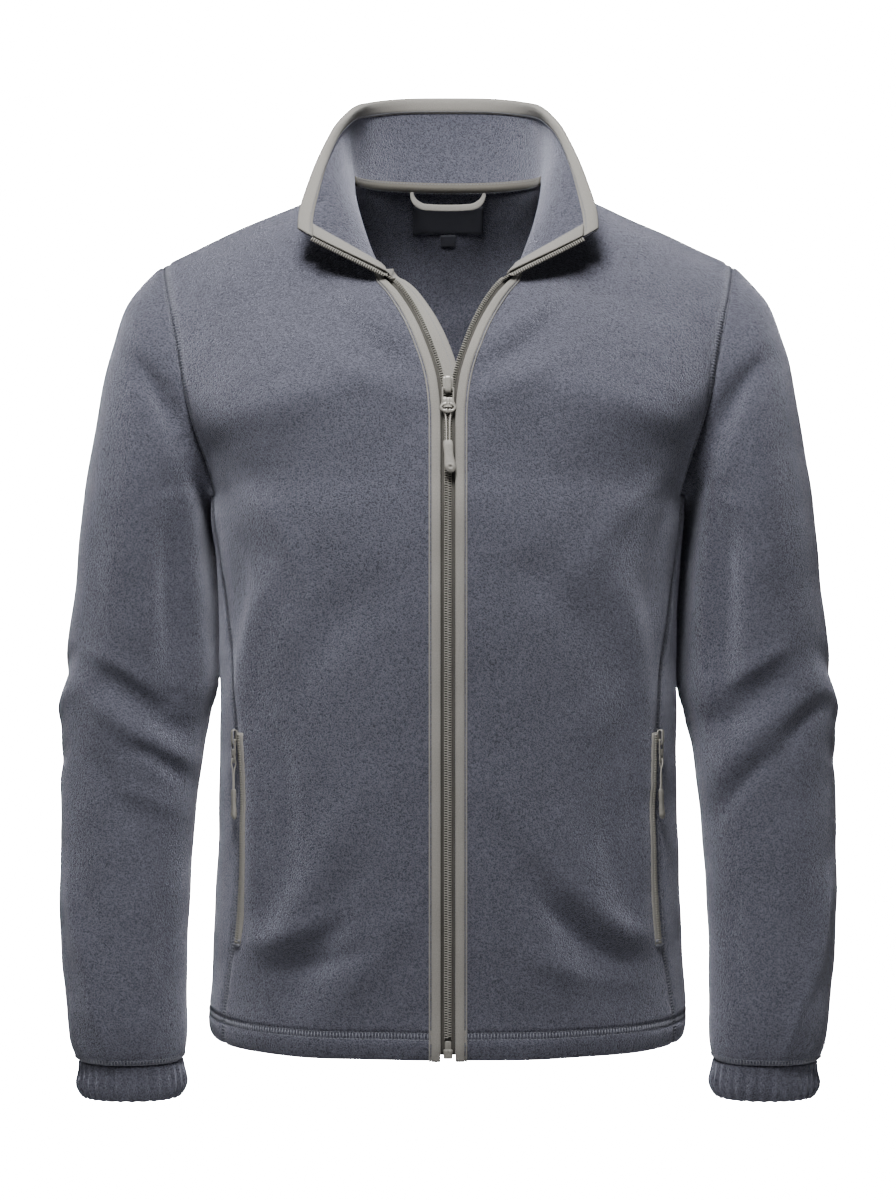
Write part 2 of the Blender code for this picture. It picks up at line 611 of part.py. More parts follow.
def neck_seam(grids):
    """The neck seam from the wearer's left front corner round the back to the right one."""
    left = grids["front_left"][CORNER_ROW:, 0]
    right = grids["front_right"][CORNER_ROW:, -1]
    back = grids["back"][-1, FRONT_COLUMNS:-FRONT_COLUMNS]
    return np.concatenate([left, back, right[::-1]])


def strip_mesh(borders, normals, lift, thick):
    """A flat strip on a wall: border points moved out by lift, then given their thickness."""
    low = borders + normals * lift
    high = borders + normals * (lift + thick)
    sections = np.concatenate([low, high[:, ::-1]], axis=1)
    return tube_mesh(sections)


# The long trims down the front edges

def edge_path(walls, side):
    """The front edge from hem to collar tip: its points, the next column's, and their normals,
    on the outer and on the inner face."""
    outer, inner, normals = walls["front_" + side]
    c_outer, c_inner, c_normals = walls["collar"]
    first, second = (0, 1) if side == "left" else (-1, -2)
    rows = slice(0, CORNER_ROW + 1)
    collar_rows = slice(1, COLLAR_ROWS.index(BINDING_FROM) + 1)
    paths = []
    for grid, c_grid in ((outer, c_outer), (inner, c_inner), (normals, c_normals)):
        paths.append(np.stack([np.concatenate([grid[rows, k], c_grid[collar_rows, k]])
                               for k in (first, second)], axis=1))
    for path in paths[:2]:
        path[-1] += unit(path[-2] - path[-1]) * TRIM_END_GAP
    # Inside, the corner's second point lies up the neck seam, over the fold between the pieces
    inner_path, inner_normals = paths[1].copy(), paths[2].copy()
    inner_path[CORNER_ROW, 1] = inner[CORNER_ROW + 1, first]
    inner_normals[CORNER_ROW, 0] = unit(normals[CORNER_ROW, first] + c_normals[1, first])
    inner_normals[CORNER_ROW, 1] = unit(normals[CORNER_ROW + 1, first] + c_normals[1, second])
    return paths[0], paths[2], inner_path, inner_normals


def zip_frame(edge, second, normals):
    """Out of the cloth's edge, and square to it and to the edge, at each point of the edge. The
    turn at the corner, where the collar folds outwards, is spread over its neighbours."""
    along = unit(np.gradient(edge, axis=0))
    away = unit(edge - second)
    for _ in range(2):
        away[1:-1] = unit(away[:-2] + 2 * away[1:-1] + away[2:])
    away = unit(away - (away * along).sum(1, keepdims=True) * along)
    up = unit(np.cross(along, away))
    return away, up * np.sign(up[0] @ normals[0])


def raise_foot(sections, z):
    """Moves the lowest section up its own edges to a height."""
    rise = (z - sections[0, :, 2:]) / (sections[1, :, 2:] - sections[0, :, 2:])
    sections[0] += (sections[1] - sections[0]) * rise
    return sections


def at_places(grid, places):
    """Rows of a grid read between its own rows."""
    low = np.minimum(places.astype(int), len(grid) - 2)
    part = (places - low).reshape((-1,) + (1,) * (grid.ndim - 1))
    return grid[low] * (1 - part) + grid[low + 1] * part


def front_trims(walls, side):
    """The placket strip, the zip tape and the coil of one front edge."""
    outer, outer_normals, inner, normals = edge_path(walls, side)
    add_mesh("placket_" + side, *strip_mesh(outer, outer_normals, SEAM_GAP, BINDING), "taupe_tape")
    away, up = zip_frame(inner[:, 0], inner[:, 1], normals[:, 0])
    # Closer sections where the edge turns outwards below the collar
    places = np.unique(np.r_[np.arange(len(inner)), np.linspace(CORNER_ROW - 1, CORNER_ROW + 1, 9)])
    inner, normals, away, up = (at_places(grid, places) for grid in (inner, normals, away, up))
    normals, away, up = unit(normals), unit(away), unit(up)
    border = inner[:, 0] + away * ZIP_HALF_OPENING
    low = np.stack([inner[:, 1] - normals[:, 1] * TAPE_GAP, inner[:, 0] - normals[:, 0] * TAPE_GAP,
                    border - up * SEAM_GAP], axis=1)
    spread = np.stack([normals[:, 1], normals[:, 0], up], axis=1)
    sections = np.concatenate([low, (low - spread * TAPE)[:, ::-1]], axis=1)
    add_mesh("zip_tape_" + side, *tube_mesh(raise_foot(sections, ZIP_TAPE_FOOT)), "taupe_tape")
    profile = [(-0.1, 0.1), (0.0, 0.85), (-0.45, COIL_HEIGHT), (-COIL_WIDTH + 0.4, COIL_HEIGHT),
               (-COIL_WIDTH, 0.85), (-COIL_WIDTH, 0.1)]
    coil = np.stack([border + away * x + up * y for x, y in profile], axis=1)
    foot = ZIP_BOX["pin_top"] + SEAM_GAP
    start = int(np.flatnonzero(border[:, 2] > foot)[0]) - 1
    add_mesh("zip_coil_" + side, *tube_mesh(raise_foot(coil[start:], foot)), "zip_coil")
    return places, inner, normals, border, up


def guard_and_facings(trims):
    """The guard behind the zip, on the wearer's right edge, and the collar corners' facings."""
    lift = TAPE_GAP + TAPE + 2 * SEAM_GAP
    for side, (places, inner, normals, border, up) in trims.items():
        if side == "right":
            rows = places < CORNER_ROW
            at = np.interp(places[rows], np.arange(CORNER_ROW + 1), FRONT_ROWS[:CORNER_ROW + 1])
            reach = smooth(column(ZIP_GUARD, "at"), column(ZIP_GUARD, "reach"), at)
            edge = inner[rows, 0]
            keep = np.stack([inner[rows, 1] - normals[rows, 1] * lift, edge - normals[rows, 0] * lift,
                             edge - up[rows] * lift + reach], axis=1)
            spread = np.stack([normals[rows, 1], normals[rows, 0], up[rows]], axis=1)
            sections = np.concatenate([keep, (keep - spread * BINDING)[:, ::-1]], axis=1)
            add_mesh("zip_guard_right", *tube_mesh(raise_foot(sections, ZIP_TAPE_FOOT)), "taupe_tape")
        rows = places > CORNER_ROW
        keep = inner[rows, ::-1] - normals[rows, ::-1] * lift
        sections = np.concatenate([keep, (keep - normals[rows, ::-1] * BINDING)[:, ::-1]], axis=1)
        add_mesh("collar_facing_" + side, *tube_mesh(sections), "taupe_tape")


def collar_binding(walls):
    """A folded tape that wraps the collar's top edge."""
    outer, inner, normals = walls["collar"]
    row = COLLAR_ROWS.index(BINDING_FROM)
    up = unit(outer[-1] - outer[row])
    n0, n1 = normals[row], normals[-1]
    gap, thick = BINDING_GAP, BINDING_GAP + BINDING
    middle = (outer[-1] + inner[-1]) / 2
    clear = up * 2 * gap
    under = [outer[row] + n0 * gap, outer[-1] + n1 * gap + clear, middle + clear,
             inner[-1] - n1 * gap + clear, inner[row] - n0 * gap]
    over = [outer[row] + n0 * thick, outer[-1] + n1 * thick + clear, middle + clear + up * thick,
            inner[-1] - n1 * thick + clear, inner[row] - n0 * thick]
    sections = np.stack(under + over[::-1], axis=1)
    add_mesh("collar_binding", *tube_mesh(sections), "taupe_tape")


def neck_trims(walls):
    """The tape over the back neck seam, the hanger loop below it, and two bare labels."""
    c_inner, c_normals = walls["collar"][1:]
    b_inner, b_normals = walls["back"][1:]
    first = len(FRONT_ROWS) - CORNER_ROW - 1
    count = 2 * BACK_INNER_COLUMNS - 1
    take = slice(first, first + count)
    back_take = slice(FRONT_COLUMNS - 1, FRONT_COLUMNS - 1 + count)
    row = COLLAR_ROWS.index(NECK_TAPE_ROW)
    keep = np.stack([c_inner[row, take] - c_normals[row, take] * SEAM_GAP,
                     c_inner[0, take] - c_normals[0, take] * 2 * SEAM_GAP,
                     b_inner[-2, back_take] - b_normals[-2, back_take] * SEAM_GAP], axis=1)[1:-1]
    spread = np.stack([c_normals[row, take], c_normals[0, take],
                       b_normals[-2, back_take]], axis=1)[1:-1]
    sections = np.concatenate([keep, (keep - spread * TAPE)[:, ::-1]], axis=1)
    add_mesh("neck_tape", *tube_mesh(sections), "taupe_tape")
    lowest = (keep - spread * TAPE)[:, 2]
    seat = lowest[np.argmin(np.abs(lowest[:, 0]))]
    add_hanger_loop(seat)
    for name, (width, top, bottom) in LABELS.items():
        points = back_patch(b_inner, b_normals, width, top, bottom)
        add_mesh(name, *strip_mesh(*points, -LABEL_OFF - LABEL_CLOTH, LABEL_CLOTH), "label_cloth")


def back_patch(inner, normals, width, top, bottom):
    """Sections across the back's inner face between two heights, and their normals."""
    middle = inner.shape[1] // 2
    line = inner[:, middle]
    rows = np.interp([top, (top + bottom) / 2, bottom], line[ARMPIT_ROW:, 2],
                     np.arange(ARMPIT_ROW, len(line)))
    x = np.linspace(-width / 2, width / 2, 9)
    low = rows.astype(int)
    part = (rows - low)[:, None, None]
    grid = inner[low] * (1 - part) + inner[low + 1] * part
    n = normals[low] * (1 - part) + normals[low + 1] * part
    points, ways = [], []
    for g, w in zip(grid, n):
        order = np.argsort(g[:, 0])
        points.append(np.stack([np.interp(x, g[order, 0], g[order, k]) for k in range(3)], 1))
        ways.append(np.stack([np.interp(x, g[order, 0], w[order, k]) for k in range(3)], 1))
    return np.array(points), unit(np.array(ways))


def add_hanger_loop(seat):
    """A flat strap that hangs below the tape: a wide U with rounded corners."""
    half, drop, corner = 26.5, 12.0, 6.0
    y = seat[1] - 2.8
    top = seat[2] - 0.4
    path = [(-half, top)]
    for turn in np.linspace(0, math.pi / 2, 5):
        path.append((-half + corner - corner * math.cos(turn),
                     top - drop + corner - corner * math.sin(turn)))
    path += [(-x, z) for x, z in reversed(path)]
    path = np.array(path)
    way = unit(np.gradient(path, axis=0))
    side = np.stack([-way[:, 1], way[:, 0]], axis=1) * 2.4
    near = np.stack([path[:, 0] + side[:, 0], np.full(len(path), y), path[:, 1] + side[:, 1]], 1)
    far = np.stack([path[:, 0] - side[:, 0], np.full(len(path), y), path[:, 1] - side[:, 1]], 1)
    for end in (0, -1):
        near[end, 2] = far[end, 2] = top
    thick = np.array([0, 1.4, 0])
    sections = np.stack([near, far, far - thick, near - thick], axis=1)
    add_mesh("hanger_loop", *tube_mesh(sections), "taupe_tape")


# Zips, sliders and pulls

def pocket_zip(walls, side):
    """The pocket's zip along the side seam, from the points of front and side panel."""
    outer, _, normals = walls["front_" + side]
    s_outer, _, s_normals = walls["side_" + side]
    edge, second = (-1, -2) if side == "left" else (0, 1)
    s_edge, s_second = (0, 1) if side == "left" else (-1, -2)
    rows = slice(0, ARMPIT_ROW + 1)
    line = np.stack([outer[rows, second], (outer[rows, edge] + s_outer[rows, s_edge]) / 2,
                     s_outer[rows, s_second]], axis=1)
    ways = np.stack([normals[rows, second], normals[rows, edge], s_normals[rows, s_second]], axis=1)
    z = line[:, 1, 2]
    wanted = np.r_[POCKET_BOTTOM, z[(z > POCKET_BOTTOM + 6) & (z < POCKET_TOP - 6)], POCKET_TOP]
    line, ways = (np.stack([np.stack([np.interp(wanted, z, grid[:, i, k]) for k in range(3)], 1)
                            for i in range(3)], 1) for grid in (line, ways))
    ways = unit(ways)
    keep = line + ways * SEAM_GAP
    sections = np.concatenate([keep, (keep + ways * 1.0)[:, ::-1]], axis=1)
    add_mesh("pocket_zip_" + side, *tube_mesh(sections), "zip_coil")
    # The pull hangs straight down
    top = line[-1, 1] * 0.7 + line[-1, 0] * 0.3 + ways[-1, 1] * (2 * SEAM_GAP + 1.0)
    return top, (0, 0, -1), ways[-1, 1]


def frame_at(origin, down, out):
    """A holder whose X lies across the zip, Y into the cloth, and Z up the zip."""
    z = Vector(-np.asarray(down)).normalized()
    y = -(Vector(out) - z * z.dot(Vector(out))).normalized()
    x = y.cross(z)
    turn = Matrix((x, y, z)).transposed().to_4x4()
    holder = bpy.data.objects.new("pull_place", None)
    JACKET.objects.link(holder)
    holder.matrix_world = Matrix.Translation(Vector(origin) * MM) @ turn
    return holder


def box(bm, x, along, out):
    """A box between the given limits, each a pair in millimetres."""
    made = bmesh.ops.create_cube(bm, size=1.0)["verts"]
    size = [(x[1] - x[0]) * MM, (out[1] - out[0]) * MM, (along[1] - along[0]) * MM]
    centre = [(x[0] + x[1]) / 2 * MM, -(out[0] + out[1]) / 2 * MM, -(along[0] + along[1]) / 2 * MM]
    bmesh.ops.scale(bm, vec=size, verts=made)
    bmesh.ops.translate(bm, vec=centre, verts=made)
    return made


def solid(name, build, finish, holder, bevel=0.0, hide=False):
    mesh = bpy.data.meshes.new(name)
    bm = bmesh.new()
    build(bm)
    bmesh.ops.recalc_face_normals(bm, faces=bm.faces)
    bm.to_mesh(mesh)
    bm.free()
    obj = add_object(name, mesh, finish, holder)
    if bevel:
        edge = obj.modifiers.new("edges", "BEVEL")
        edge.width = bevel * MM
        edge.segments = 1
        edge.limit_method = "ANGLE"
    if hide:
        JACKET.objects.unlink(obj)
        CUTTERS.objects.link(obj)
        obj.hide_render = True
        obj.display_type = "WIRE"
    return obj


def cut_with(obj, cutter, operation="DIFFERENCE"):
    joined = obj.modifiers.new(operation.lower(), "BOOLEAN")
    joined.object = cutter
    joined.operation = operation


def add_slider(name, pull, holder):
    """The slider's plate with its arch, and the window in the arch that holds the tab."""
    width, length, thick = pull["plate"]
    arch_width, arch_length, top = pull["arch"]
    hinge, out = pull["hinge_along"], pull["hinge_out"]
    half, narrow = width / 2, arch_width / 2

    def plate_box(bm):
        box(bm, (-half, half), (1.0, 1.0 + length), (0, thick))

    def arch_box(bm):
        box(bm, (-narrow, narrow), (0, arch_length), (0.5, top))

    def window_box(bm):
        box(bm, (-9, 9), (hinge - 1.5, hinge + 1.5), (out - 1, out + 1))

    plate = solid(name, plate_box, "zip_metal", holder, 0.3)
    arch = solid(name + "_arch", arch_box, "zip_metal", holder, 0.8, True)
    window = solid(name + "_window", window_box, "zip_metal", holder, 0.0, True)
    cut_with(plate, arch, "UNION")
    cut_with(plate, window)


def add_tab(name, pull, holder):
    """The tab: a round bar through the arch, two legs, and a plate with one or two eyes."""
    hinge, out = pull["hinge_along"], pull["hinge_out"]
    spread = pull["leg_spread"]
    ring_width, ring_height = pull["ring"]
    thick = 0.6
    leg = 1.3
    bar_radius = 0.62 * MM
    levels = (out - thick, out + thick)

    reach = (hinge - 0.9, pull["ring_at"] - 2)

    def legs(bm):
        box(bm, (-spread / 2 - leg / 2, -spread / 2 + leg / 2), reach, levels)

    def other(bm):
        box(bm, (spread / 2 - leg / 2, spread / 2 + leg / 2), reach, levels)

    def bar(bm):
        made = bmesh.ops.create_cone(bm, cap_ends=True, segments=10, radius1=bar_radius,
                                     radius2=bar_radius, depth=spread * MM)["verts"]
        bmesh.ops.rotate(bm, verts=made, cent=(0, 0, 0), matrix=Matrix.Rotation(math.pi / 2, 3, "Y"))
        bmesh.ops.translate(bm, vec=(0, -out * MM, -hinge * MM), verts=made)

    def plate(bm):
        made = bmesh.ops.create_cone(bm, cap_ends=True, segments=20, radius1=0.5, radius2=0.5,
                                     depth=1.0)["verts"]
        bmesh.ops.rotate(bm, verts=made, cent=(0, 0, 0), matrix=Matrix.Rotation(math.pi / 2, 3, "X"))
        bmesh.ops.scale(bm, vec=(ring_width * MM, 2 * thick * MM, ring_height * MM), verts=made)
        bmesh.ops.translate(bm, vec=(0, -out * MM, -pull["ring_at"] * MM), verts=made)

    def bridge(bm):
        low = pull["ring_at"] - ring_height / 2 + 1.2
        box(bm, (-spread / 2, spread / 2), (hinge + BRIDGE_BELOW_HINGE, low), levels)

    def eyes(bm):
        for x in pull["eyes"]:
            radius = pull["eye_radius"] * MM
            made = bmesh.ops.create_cone(bm, cap_ends=True, segments=12, radius1=radius, radius2=radius,
                                         depth=6 * MM)["verts"]
            bmesh.ops.rotate(bm, verts=made, cent=(0, 0, 0), matrix=Matrix.Rotation(math.pi / 2, 3, "X"))
            bmesh.ops.translate(bm, vec=(x * MM, -out * MM, -pull["ring_at"] * MM), verts=made)

    tab = solid(name, plate, "zip_metal", holder)
    for part, build in (("leg", legs), ("other_leg", other), ("bar", bar), ("bridge", bridge)):
        cut_with(tab, solid(name + "_" + part, build, "zip_metal", holder, 0.0, True), "UNION")
    cut_with(tab, solid(name + "_eyes", eyes, "zip_metal", holder, 0.0, True))


def cord_path(pull):
    """The loop of cord: up behind the plate, through the eyes, over the front and down again."""
    out = pull["hinge_out"]
    half = pull["strand_gap"] / 2
    ring_at = pull["ring_at"]
    low = ring_at + pull["ring"][1] / 2
    r = pull["cord_diameter"] / 2
    behind = out - 0.6 - r - 0.25
    front = out + 0.6 + r + 0.25
    end = pull["grip_at"] - SEAM_GAP
    if len(pull["eyes"]) == 2:
        eye = pull["eyes"][1]
        strand = [(half, end, out), (half, end - 8, out), (half + 0.3, low + 5, out - 0.6),
                  (half + 0.7, low + 1.5, behind), (eye - 0.1, ring_at + 2.2, behind),
                  (eye, ring_at + 0.5, behind + 0.35), (eye, ring_at - 0.1, out),
                  (eye - 0.5, ring_at - 0.3, front - 0.25), (eye - 1.4, ring_at - 0.3, front),
                  (0.0, ring_at - 0.3, front)]
        other = [(-x, a, o) for x, a, o in strand[:-1]]
        return strand + other[::-1]
    rise = [(-half, end, out), (-half, end - 6, out), (-half, low + 4, out + 0.6),
            (-half + 0.1, low + 1.2, front), (-0.5, ring_at + 2.6, front),
            (-0.15, ring_at + 0.9, front - 0.5), (0.0, ring_at + 0.3, out)]
    fall = [(0.15, ring_at + 0.9, behind + 0.5), (0.5, ring_at + 2.6, behind),
            (half - 0.1, low + 1.2, behind), (half, low + 4, out - 0.6), (half, end - 6, out),
            (half, end, out)]
    return rise + fall


def add_cord(name, pull, holder):
    points = np.array(cord_path(pull), float)
    run = np.r_[0, np.cumsum(np.linalg.norm(np.diff(points, axis=0), axis=1))]
    spots = smooth(run, points, np.linspace(0, run[-1], 44))
    curve = bpy.data.curves.new(name, "CURVE")
    curve.dimensions = "3D"
    curve.bevel_depth = pull["cord_diameter"] / 2 * MM
    curve.bevel_resolution = 0
    curve.use_fill_caps = True
    spline = curve.splines.new("POLY")
    spline.points.add(len(spots) - 1)
    for point, (x, a, o) in zip(spline.points, spots):
        point.co = (x * MM, -o * MM, -a * MM, 1)
    add_object_curve(name, curve, "pull_cord", holder)


def add_object_curve(name, curve, finish, holder):
    curve.materials.append(MATERIALS[finish])
    obj = bpy.data.objects.new(name, curve)
    JACKET.objects.link(obj)
    obj.parent = holder
    return obj


def add_grip(name, pull, holder):
    """The moulded grip: rounded sections that narrow at the waist and swell at the end."""
    top, waist, bulb = pull["grip"]
    t = np.array([0, 0.05, 0.15, 0.5, 0.8, 0.94, 1.0])
    width = np.interp(t, [0, 0.03, 0.12, 0.45, 0.82, 0.92, 0.98, 1.0],
                      [top * 0.72, top * 0.93, top, waist, bulb, bulb * 0.86, bulb * 0.5, bulb * 0.2])
    thick = np.interp(t, [0, 0.12, 0.5, 0.85, 0.97, 1.0], [2.4, 3.4, 3.2, 3.7, 2.2, 1.0])
    turn = np.linspace(0, 2 * math.pi, 12, endpoint=False)
    c = np.sign(np.cos(turn)) * np.abs(np.cos(turn)) ** 0.8
    s = np.sign(np.sin(turn)) * np.abs(np.sin(turn)) ** 0.8
    along = pull["grip_at"] + t * pull["grip_length"]
    middle = pull["lean"] * t**1.6
    x = middle[:, None] + width[:, None] / 2 * c
    seat = np.interp(t, [0, 0.8, 1], [pull["grip_out"][0], pull["grip_out"][1], pull["grip_out"][1]])
    o = seat[:, None] + thick[:, None] / 2 * s
    sections = np.stack([x, -o, -np.broadcast_to(along[:, None], x.shape)], axis=2)
    points, faces = tube_mesh(sections)
    obj = add_mesh(name, points, faces, "grip_rubber")
    obj.parent = holder


def add_pull(prefix, pull, origin, down, out):
    holder = frame_at(origin, down, out)
    add_slider(prefix + "slider", pull, holder)
    add_tab(prefix + "tab", pull, holder)
    add_cord(prefix + "cord", pull, holder)
    add_grip(prefix + "grip", pull, holder)


def main_pull_place(border):
    """The seat of the main slider on the coils, and the line down the zip from there."""
    z = np.array([MAIN_PULL_TOP, MAIN_PULL_TOP - MAIN_PULL["grip_at"]])
    y = np.interp(z, border[:, 2], border[:, 1]) - COIL_HEIGHT - 2.5 * SEAM_GAP
    return np.array([0.0, y[0], z[0]]), np.array([0.0, y[1] - y[0], z[1] - z[0]])


def add_zip_box(border):
    """The box and pin at the foot of the zip, in front of the tapes' ends."""
    z = np.array([ZIP_BOX["pin_top"], ZIP_BOX["bottom"]])
    y = np.interp(z, border[:, 2], border[:, 1])
    holder = frame_at((0.0, y[0], z[0]), (0.0, y[1] - y[0], z[1] - z[0]), (0, -1, 0))
    wide, slim, thick = ZIP_BOX["width"] / 2, ZIP_BOX["pin_width"] / 2, ZIP_BOX["thick"]
    top, foot = z[0] - ZIP_BOX["top"], z[0] - z[1]

    def body_box(bm):
        box(bm, (-wide, wide), (top, foot), (0, thick))

    def pin_box(bm):
        box(bm, (-slim, slim), (0, foot - 2), (0.4, thick - 0.4))

    body = solid("zip_box", body_box, "zip_metal", holder, 0.5)
    pin = solid("zip_pin", pin_box, "zip_metal", holder, 0.4, True)
    cut_with(body, pin, "UNION")


# Main

def build():
    front, side, back = panels()
    half_collar = collar(front, back)
    sleeve_left = sleeve(armhole(front, side, back))
    # Columns run to the wearer's left across the front and on round the body, so that every
    # grid's columns, rows and outside turn the same way.
    grids = {
        "front_left": front, "front_right": mirrored(front)[:, ::-1],
        "side_left": side, "side_right": mirrored(side)[:, ::-1],
        "back": np.concatenate([back, mirrored(back)[:, -2::-1]], axis=1),
        "collar": np.concatenate([half_collar, mirrored(half_collar)[:, -2::-1]], axis=1),
        "sleeve_left": sleeve_left[:, ::-1], "sleeve_right": mirrored(sleeve_left),
    }
    closed = {name: name.startswith("sleeve") for name in grids}
    walls = cloth_walls(grids, closed)
    for name, (outer, inner, _) in walls.items():
        add_mesh(name, *wall_mesh(outer, inner, closed[name]), "fleece")
    outer, inner = cuff()
    for name, turn in (("cuff_left", (1, 1, 1)), ("cuff_right", (-1, 1, 1))):
        add_mesh(name, *wall_mesh(outer * turn, inner * turn, True), "fleece")
    trims = {s: front_trims(walls, s) for s in ("right", "left")}
    guard_and_facings(trims)
    collar_binding(walls)
    neck_trims(walls)
    border = trims["left"][3]
    add_zip_box(border)
    add_pull("zip_", MAIN_PULL, *main_pull_place(border), (0, -1, 0))
    for s in ("right", "left"):
        add_pull("pocket_" + s + "_", POCKET_PULL, *pocket_zip(walls, s))


for old in list(bpy.data.objects):
    bpy.data.objects.remove(old)
JACKET = bpy.data.collections.new("fleece_zip_jacket")
CUTTERS = bpy.data.collections.new("cutters")
bpy.context.scene.collection.children.link(JACKET)
bpy.context.scene.collection.children.link(CUTTERS)
material("fleece", (0.118, 0.125, 0.155), 0.95)
material("taupe_tape", (0.30, 0.285, 0.26), 0.85)
material("zip_coil", (0.27, 0.255, 0.23), 0.55)
material("zip_metal", (0.33, 0.315, 0.285), 0.45, 0.3)
material("pull_cord", (0.38, 0.36, 0.32), 0.8)
material("grip_rubber", (0.26, 0.25, 0.225), 0.7)
material("label_cloth", (0.02, 0.022, 0.03), 0.8)
build()
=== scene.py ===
# Fleece zip jacket, men's size M, filled out as if worn: the finish of every piece.
# X points to the wearer's left, -Y to the front and +Z up, and the origin lies in mid-neck.
# Shapes are worked out in millimetres and become metres in the meshes.
import json
import math

import bpy
import numpy as np
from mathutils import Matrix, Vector


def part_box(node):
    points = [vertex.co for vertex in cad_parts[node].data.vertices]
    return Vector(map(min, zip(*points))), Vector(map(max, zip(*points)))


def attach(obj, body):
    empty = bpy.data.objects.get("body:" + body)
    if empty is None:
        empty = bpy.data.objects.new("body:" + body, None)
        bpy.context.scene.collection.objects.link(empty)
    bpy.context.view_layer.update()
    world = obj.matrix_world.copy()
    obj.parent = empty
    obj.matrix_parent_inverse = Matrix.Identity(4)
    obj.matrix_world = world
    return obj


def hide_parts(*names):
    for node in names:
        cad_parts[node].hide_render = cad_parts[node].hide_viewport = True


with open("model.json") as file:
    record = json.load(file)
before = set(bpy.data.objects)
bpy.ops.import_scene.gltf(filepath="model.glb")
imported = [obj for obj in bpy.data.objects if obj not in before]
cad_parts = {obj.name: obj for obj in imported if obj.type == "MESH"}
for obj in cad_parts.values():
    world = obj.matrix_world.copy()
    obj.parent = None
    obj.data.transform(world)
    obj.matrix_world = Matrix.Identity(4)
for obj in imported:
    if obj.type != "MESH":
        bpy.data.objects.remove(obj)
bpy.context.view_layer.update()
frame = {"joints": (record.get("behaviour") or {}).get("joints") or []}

mm = 0.001
jacket = "jacket"


def table(names, rows):
    # one dictionary of named values for each row
    names = names.split()
    return [dict(zip(names, row)) for row in rows]


def column(rows, name):
    return np.array([row[name] for row in rows], float)


# The cut: sections and seam lines, in millimetres

cloth = {
    "thick": 2.5, "collarThick": 3.0, "cuffThick": 2.6, "hemThick": 4.4,
    "seamGap": 0.24,  # between two sewn pieces
    "hemTurn": 26.5, "hemEdge": 1.6,  # height of the doubled hem and of the step over it
    "tapeClear": 9.5,  # single cloth beside the zip
    "rollDepth": 1.1, "rollWidth": 1.5,  # how a sewn edge turns in
    "halfOpening": 5.5,  # from the open zip's middle to the cloth's edge
}

# Horizontal sections of the body below the armpit, hem first: half width, depths at the centre
# lines, heights at centre front, side and centre back, and the side panel's seams along each quarter.
bodySections = table("at halfWidth front back z frontSeam backSeam", [
    (0, 190, 139, 130, (-678, -678, -678), 0.71, 0.42),
    (12, 191.6, 141, 132, (-666, -666, -666), 0.708, 0.42),
    (42, 189.5, 140, 130, (-636, -636, -636), 0.685, 0.42),
    (93, 187, 140, 126, (-585, -585, -585), 0.645, 0.41),
    (140, 184.6, 140, 121, (-538, -538, -538), 0.635, 0.4),
    (200, 183, 139, 116, (-478, -478, -478), 0.635, 0.38),
    (275, 182.4, 139, 116, (-402, -403, -403), 0.66, 0.36),
    (330, 182.8, 140, 121, (-343, -348, -346), 0.73, 0.34),
    (378, 185.2, 140, 126, (-288, -300, -294), 0.79, 0.31),
    (410, 188.3, 139, 130, (-252, -270, -260), 0.82, 0.29),
    (430, 188.6, 136, 132, (-230, -250, -238), 0.84, 0.28),
])
frontFullness, backFullness = 0.70, 0.62  # how square the sections are

# Rows of the front above the armpit: front edge and neck seam, then the armhole
frontYoke = table("at edge edgeWay edgePull arm armWay armPull", [
    (456, (5.5, -132.8, -195), (1, -0.02, -0.01), 0.52, (191.3, -46, -221.7), (-0.28, -0.96, 0.08), 0.36),
    (482, (8.4, -128, -160), (1, -0.04, -0.02), 0.5, (199.5, -55, -198), (-0.35, -0.93, 0.1), 0.4),
    (508, (17.8, -118.5, -130.2), (0.98, 0.06, -0.05), 0.4, (204, -59.5, -182), (-0.42, -0.9, 0.12), 0.4),
    (530, (27.2, -109, -109.8), (0.95, 0.18, -0.06), 0.3, (207, -60, -167), (-0.5, -0.84, 0.15), 0.4),
    (550, (38.6, -99, -92.4), (0.9, 0.34, -0.05), 0.26, (209.5, -58.5, -152), (-0.6, -0.76, 0.2), 0.4),
    (566, (49, -89, -81), (0.85, 0.46, -0.02), 0.24, (212.3, -55, -138), (-0.68, -0.66, 0.25), 0.39),
    (576, (54, -82.5, -74.5), (0.88, 0.4, -0.1), 0.26, (214.6, -51, -127), (-0.75, -0.55, 0.3), 0.38),
    (598, (66, -58, -46), (0.92, 0.1, -0.25), 0.32, (219.6, -41, -106), (-0.86, -0.32, 0.38), 0.36),
    (620, (74, -30, -18), (0.92, -0.06, -0.34), 0.33, (225.3, -23, -84), (-0.91, -0.1, 0.4), 0.34),
    (640, (76.6, 0, 0), (0.92, 0, -0.38), 0.33, (229, 0, -67), (-0.9, 0, 0.43), 0.33),
])

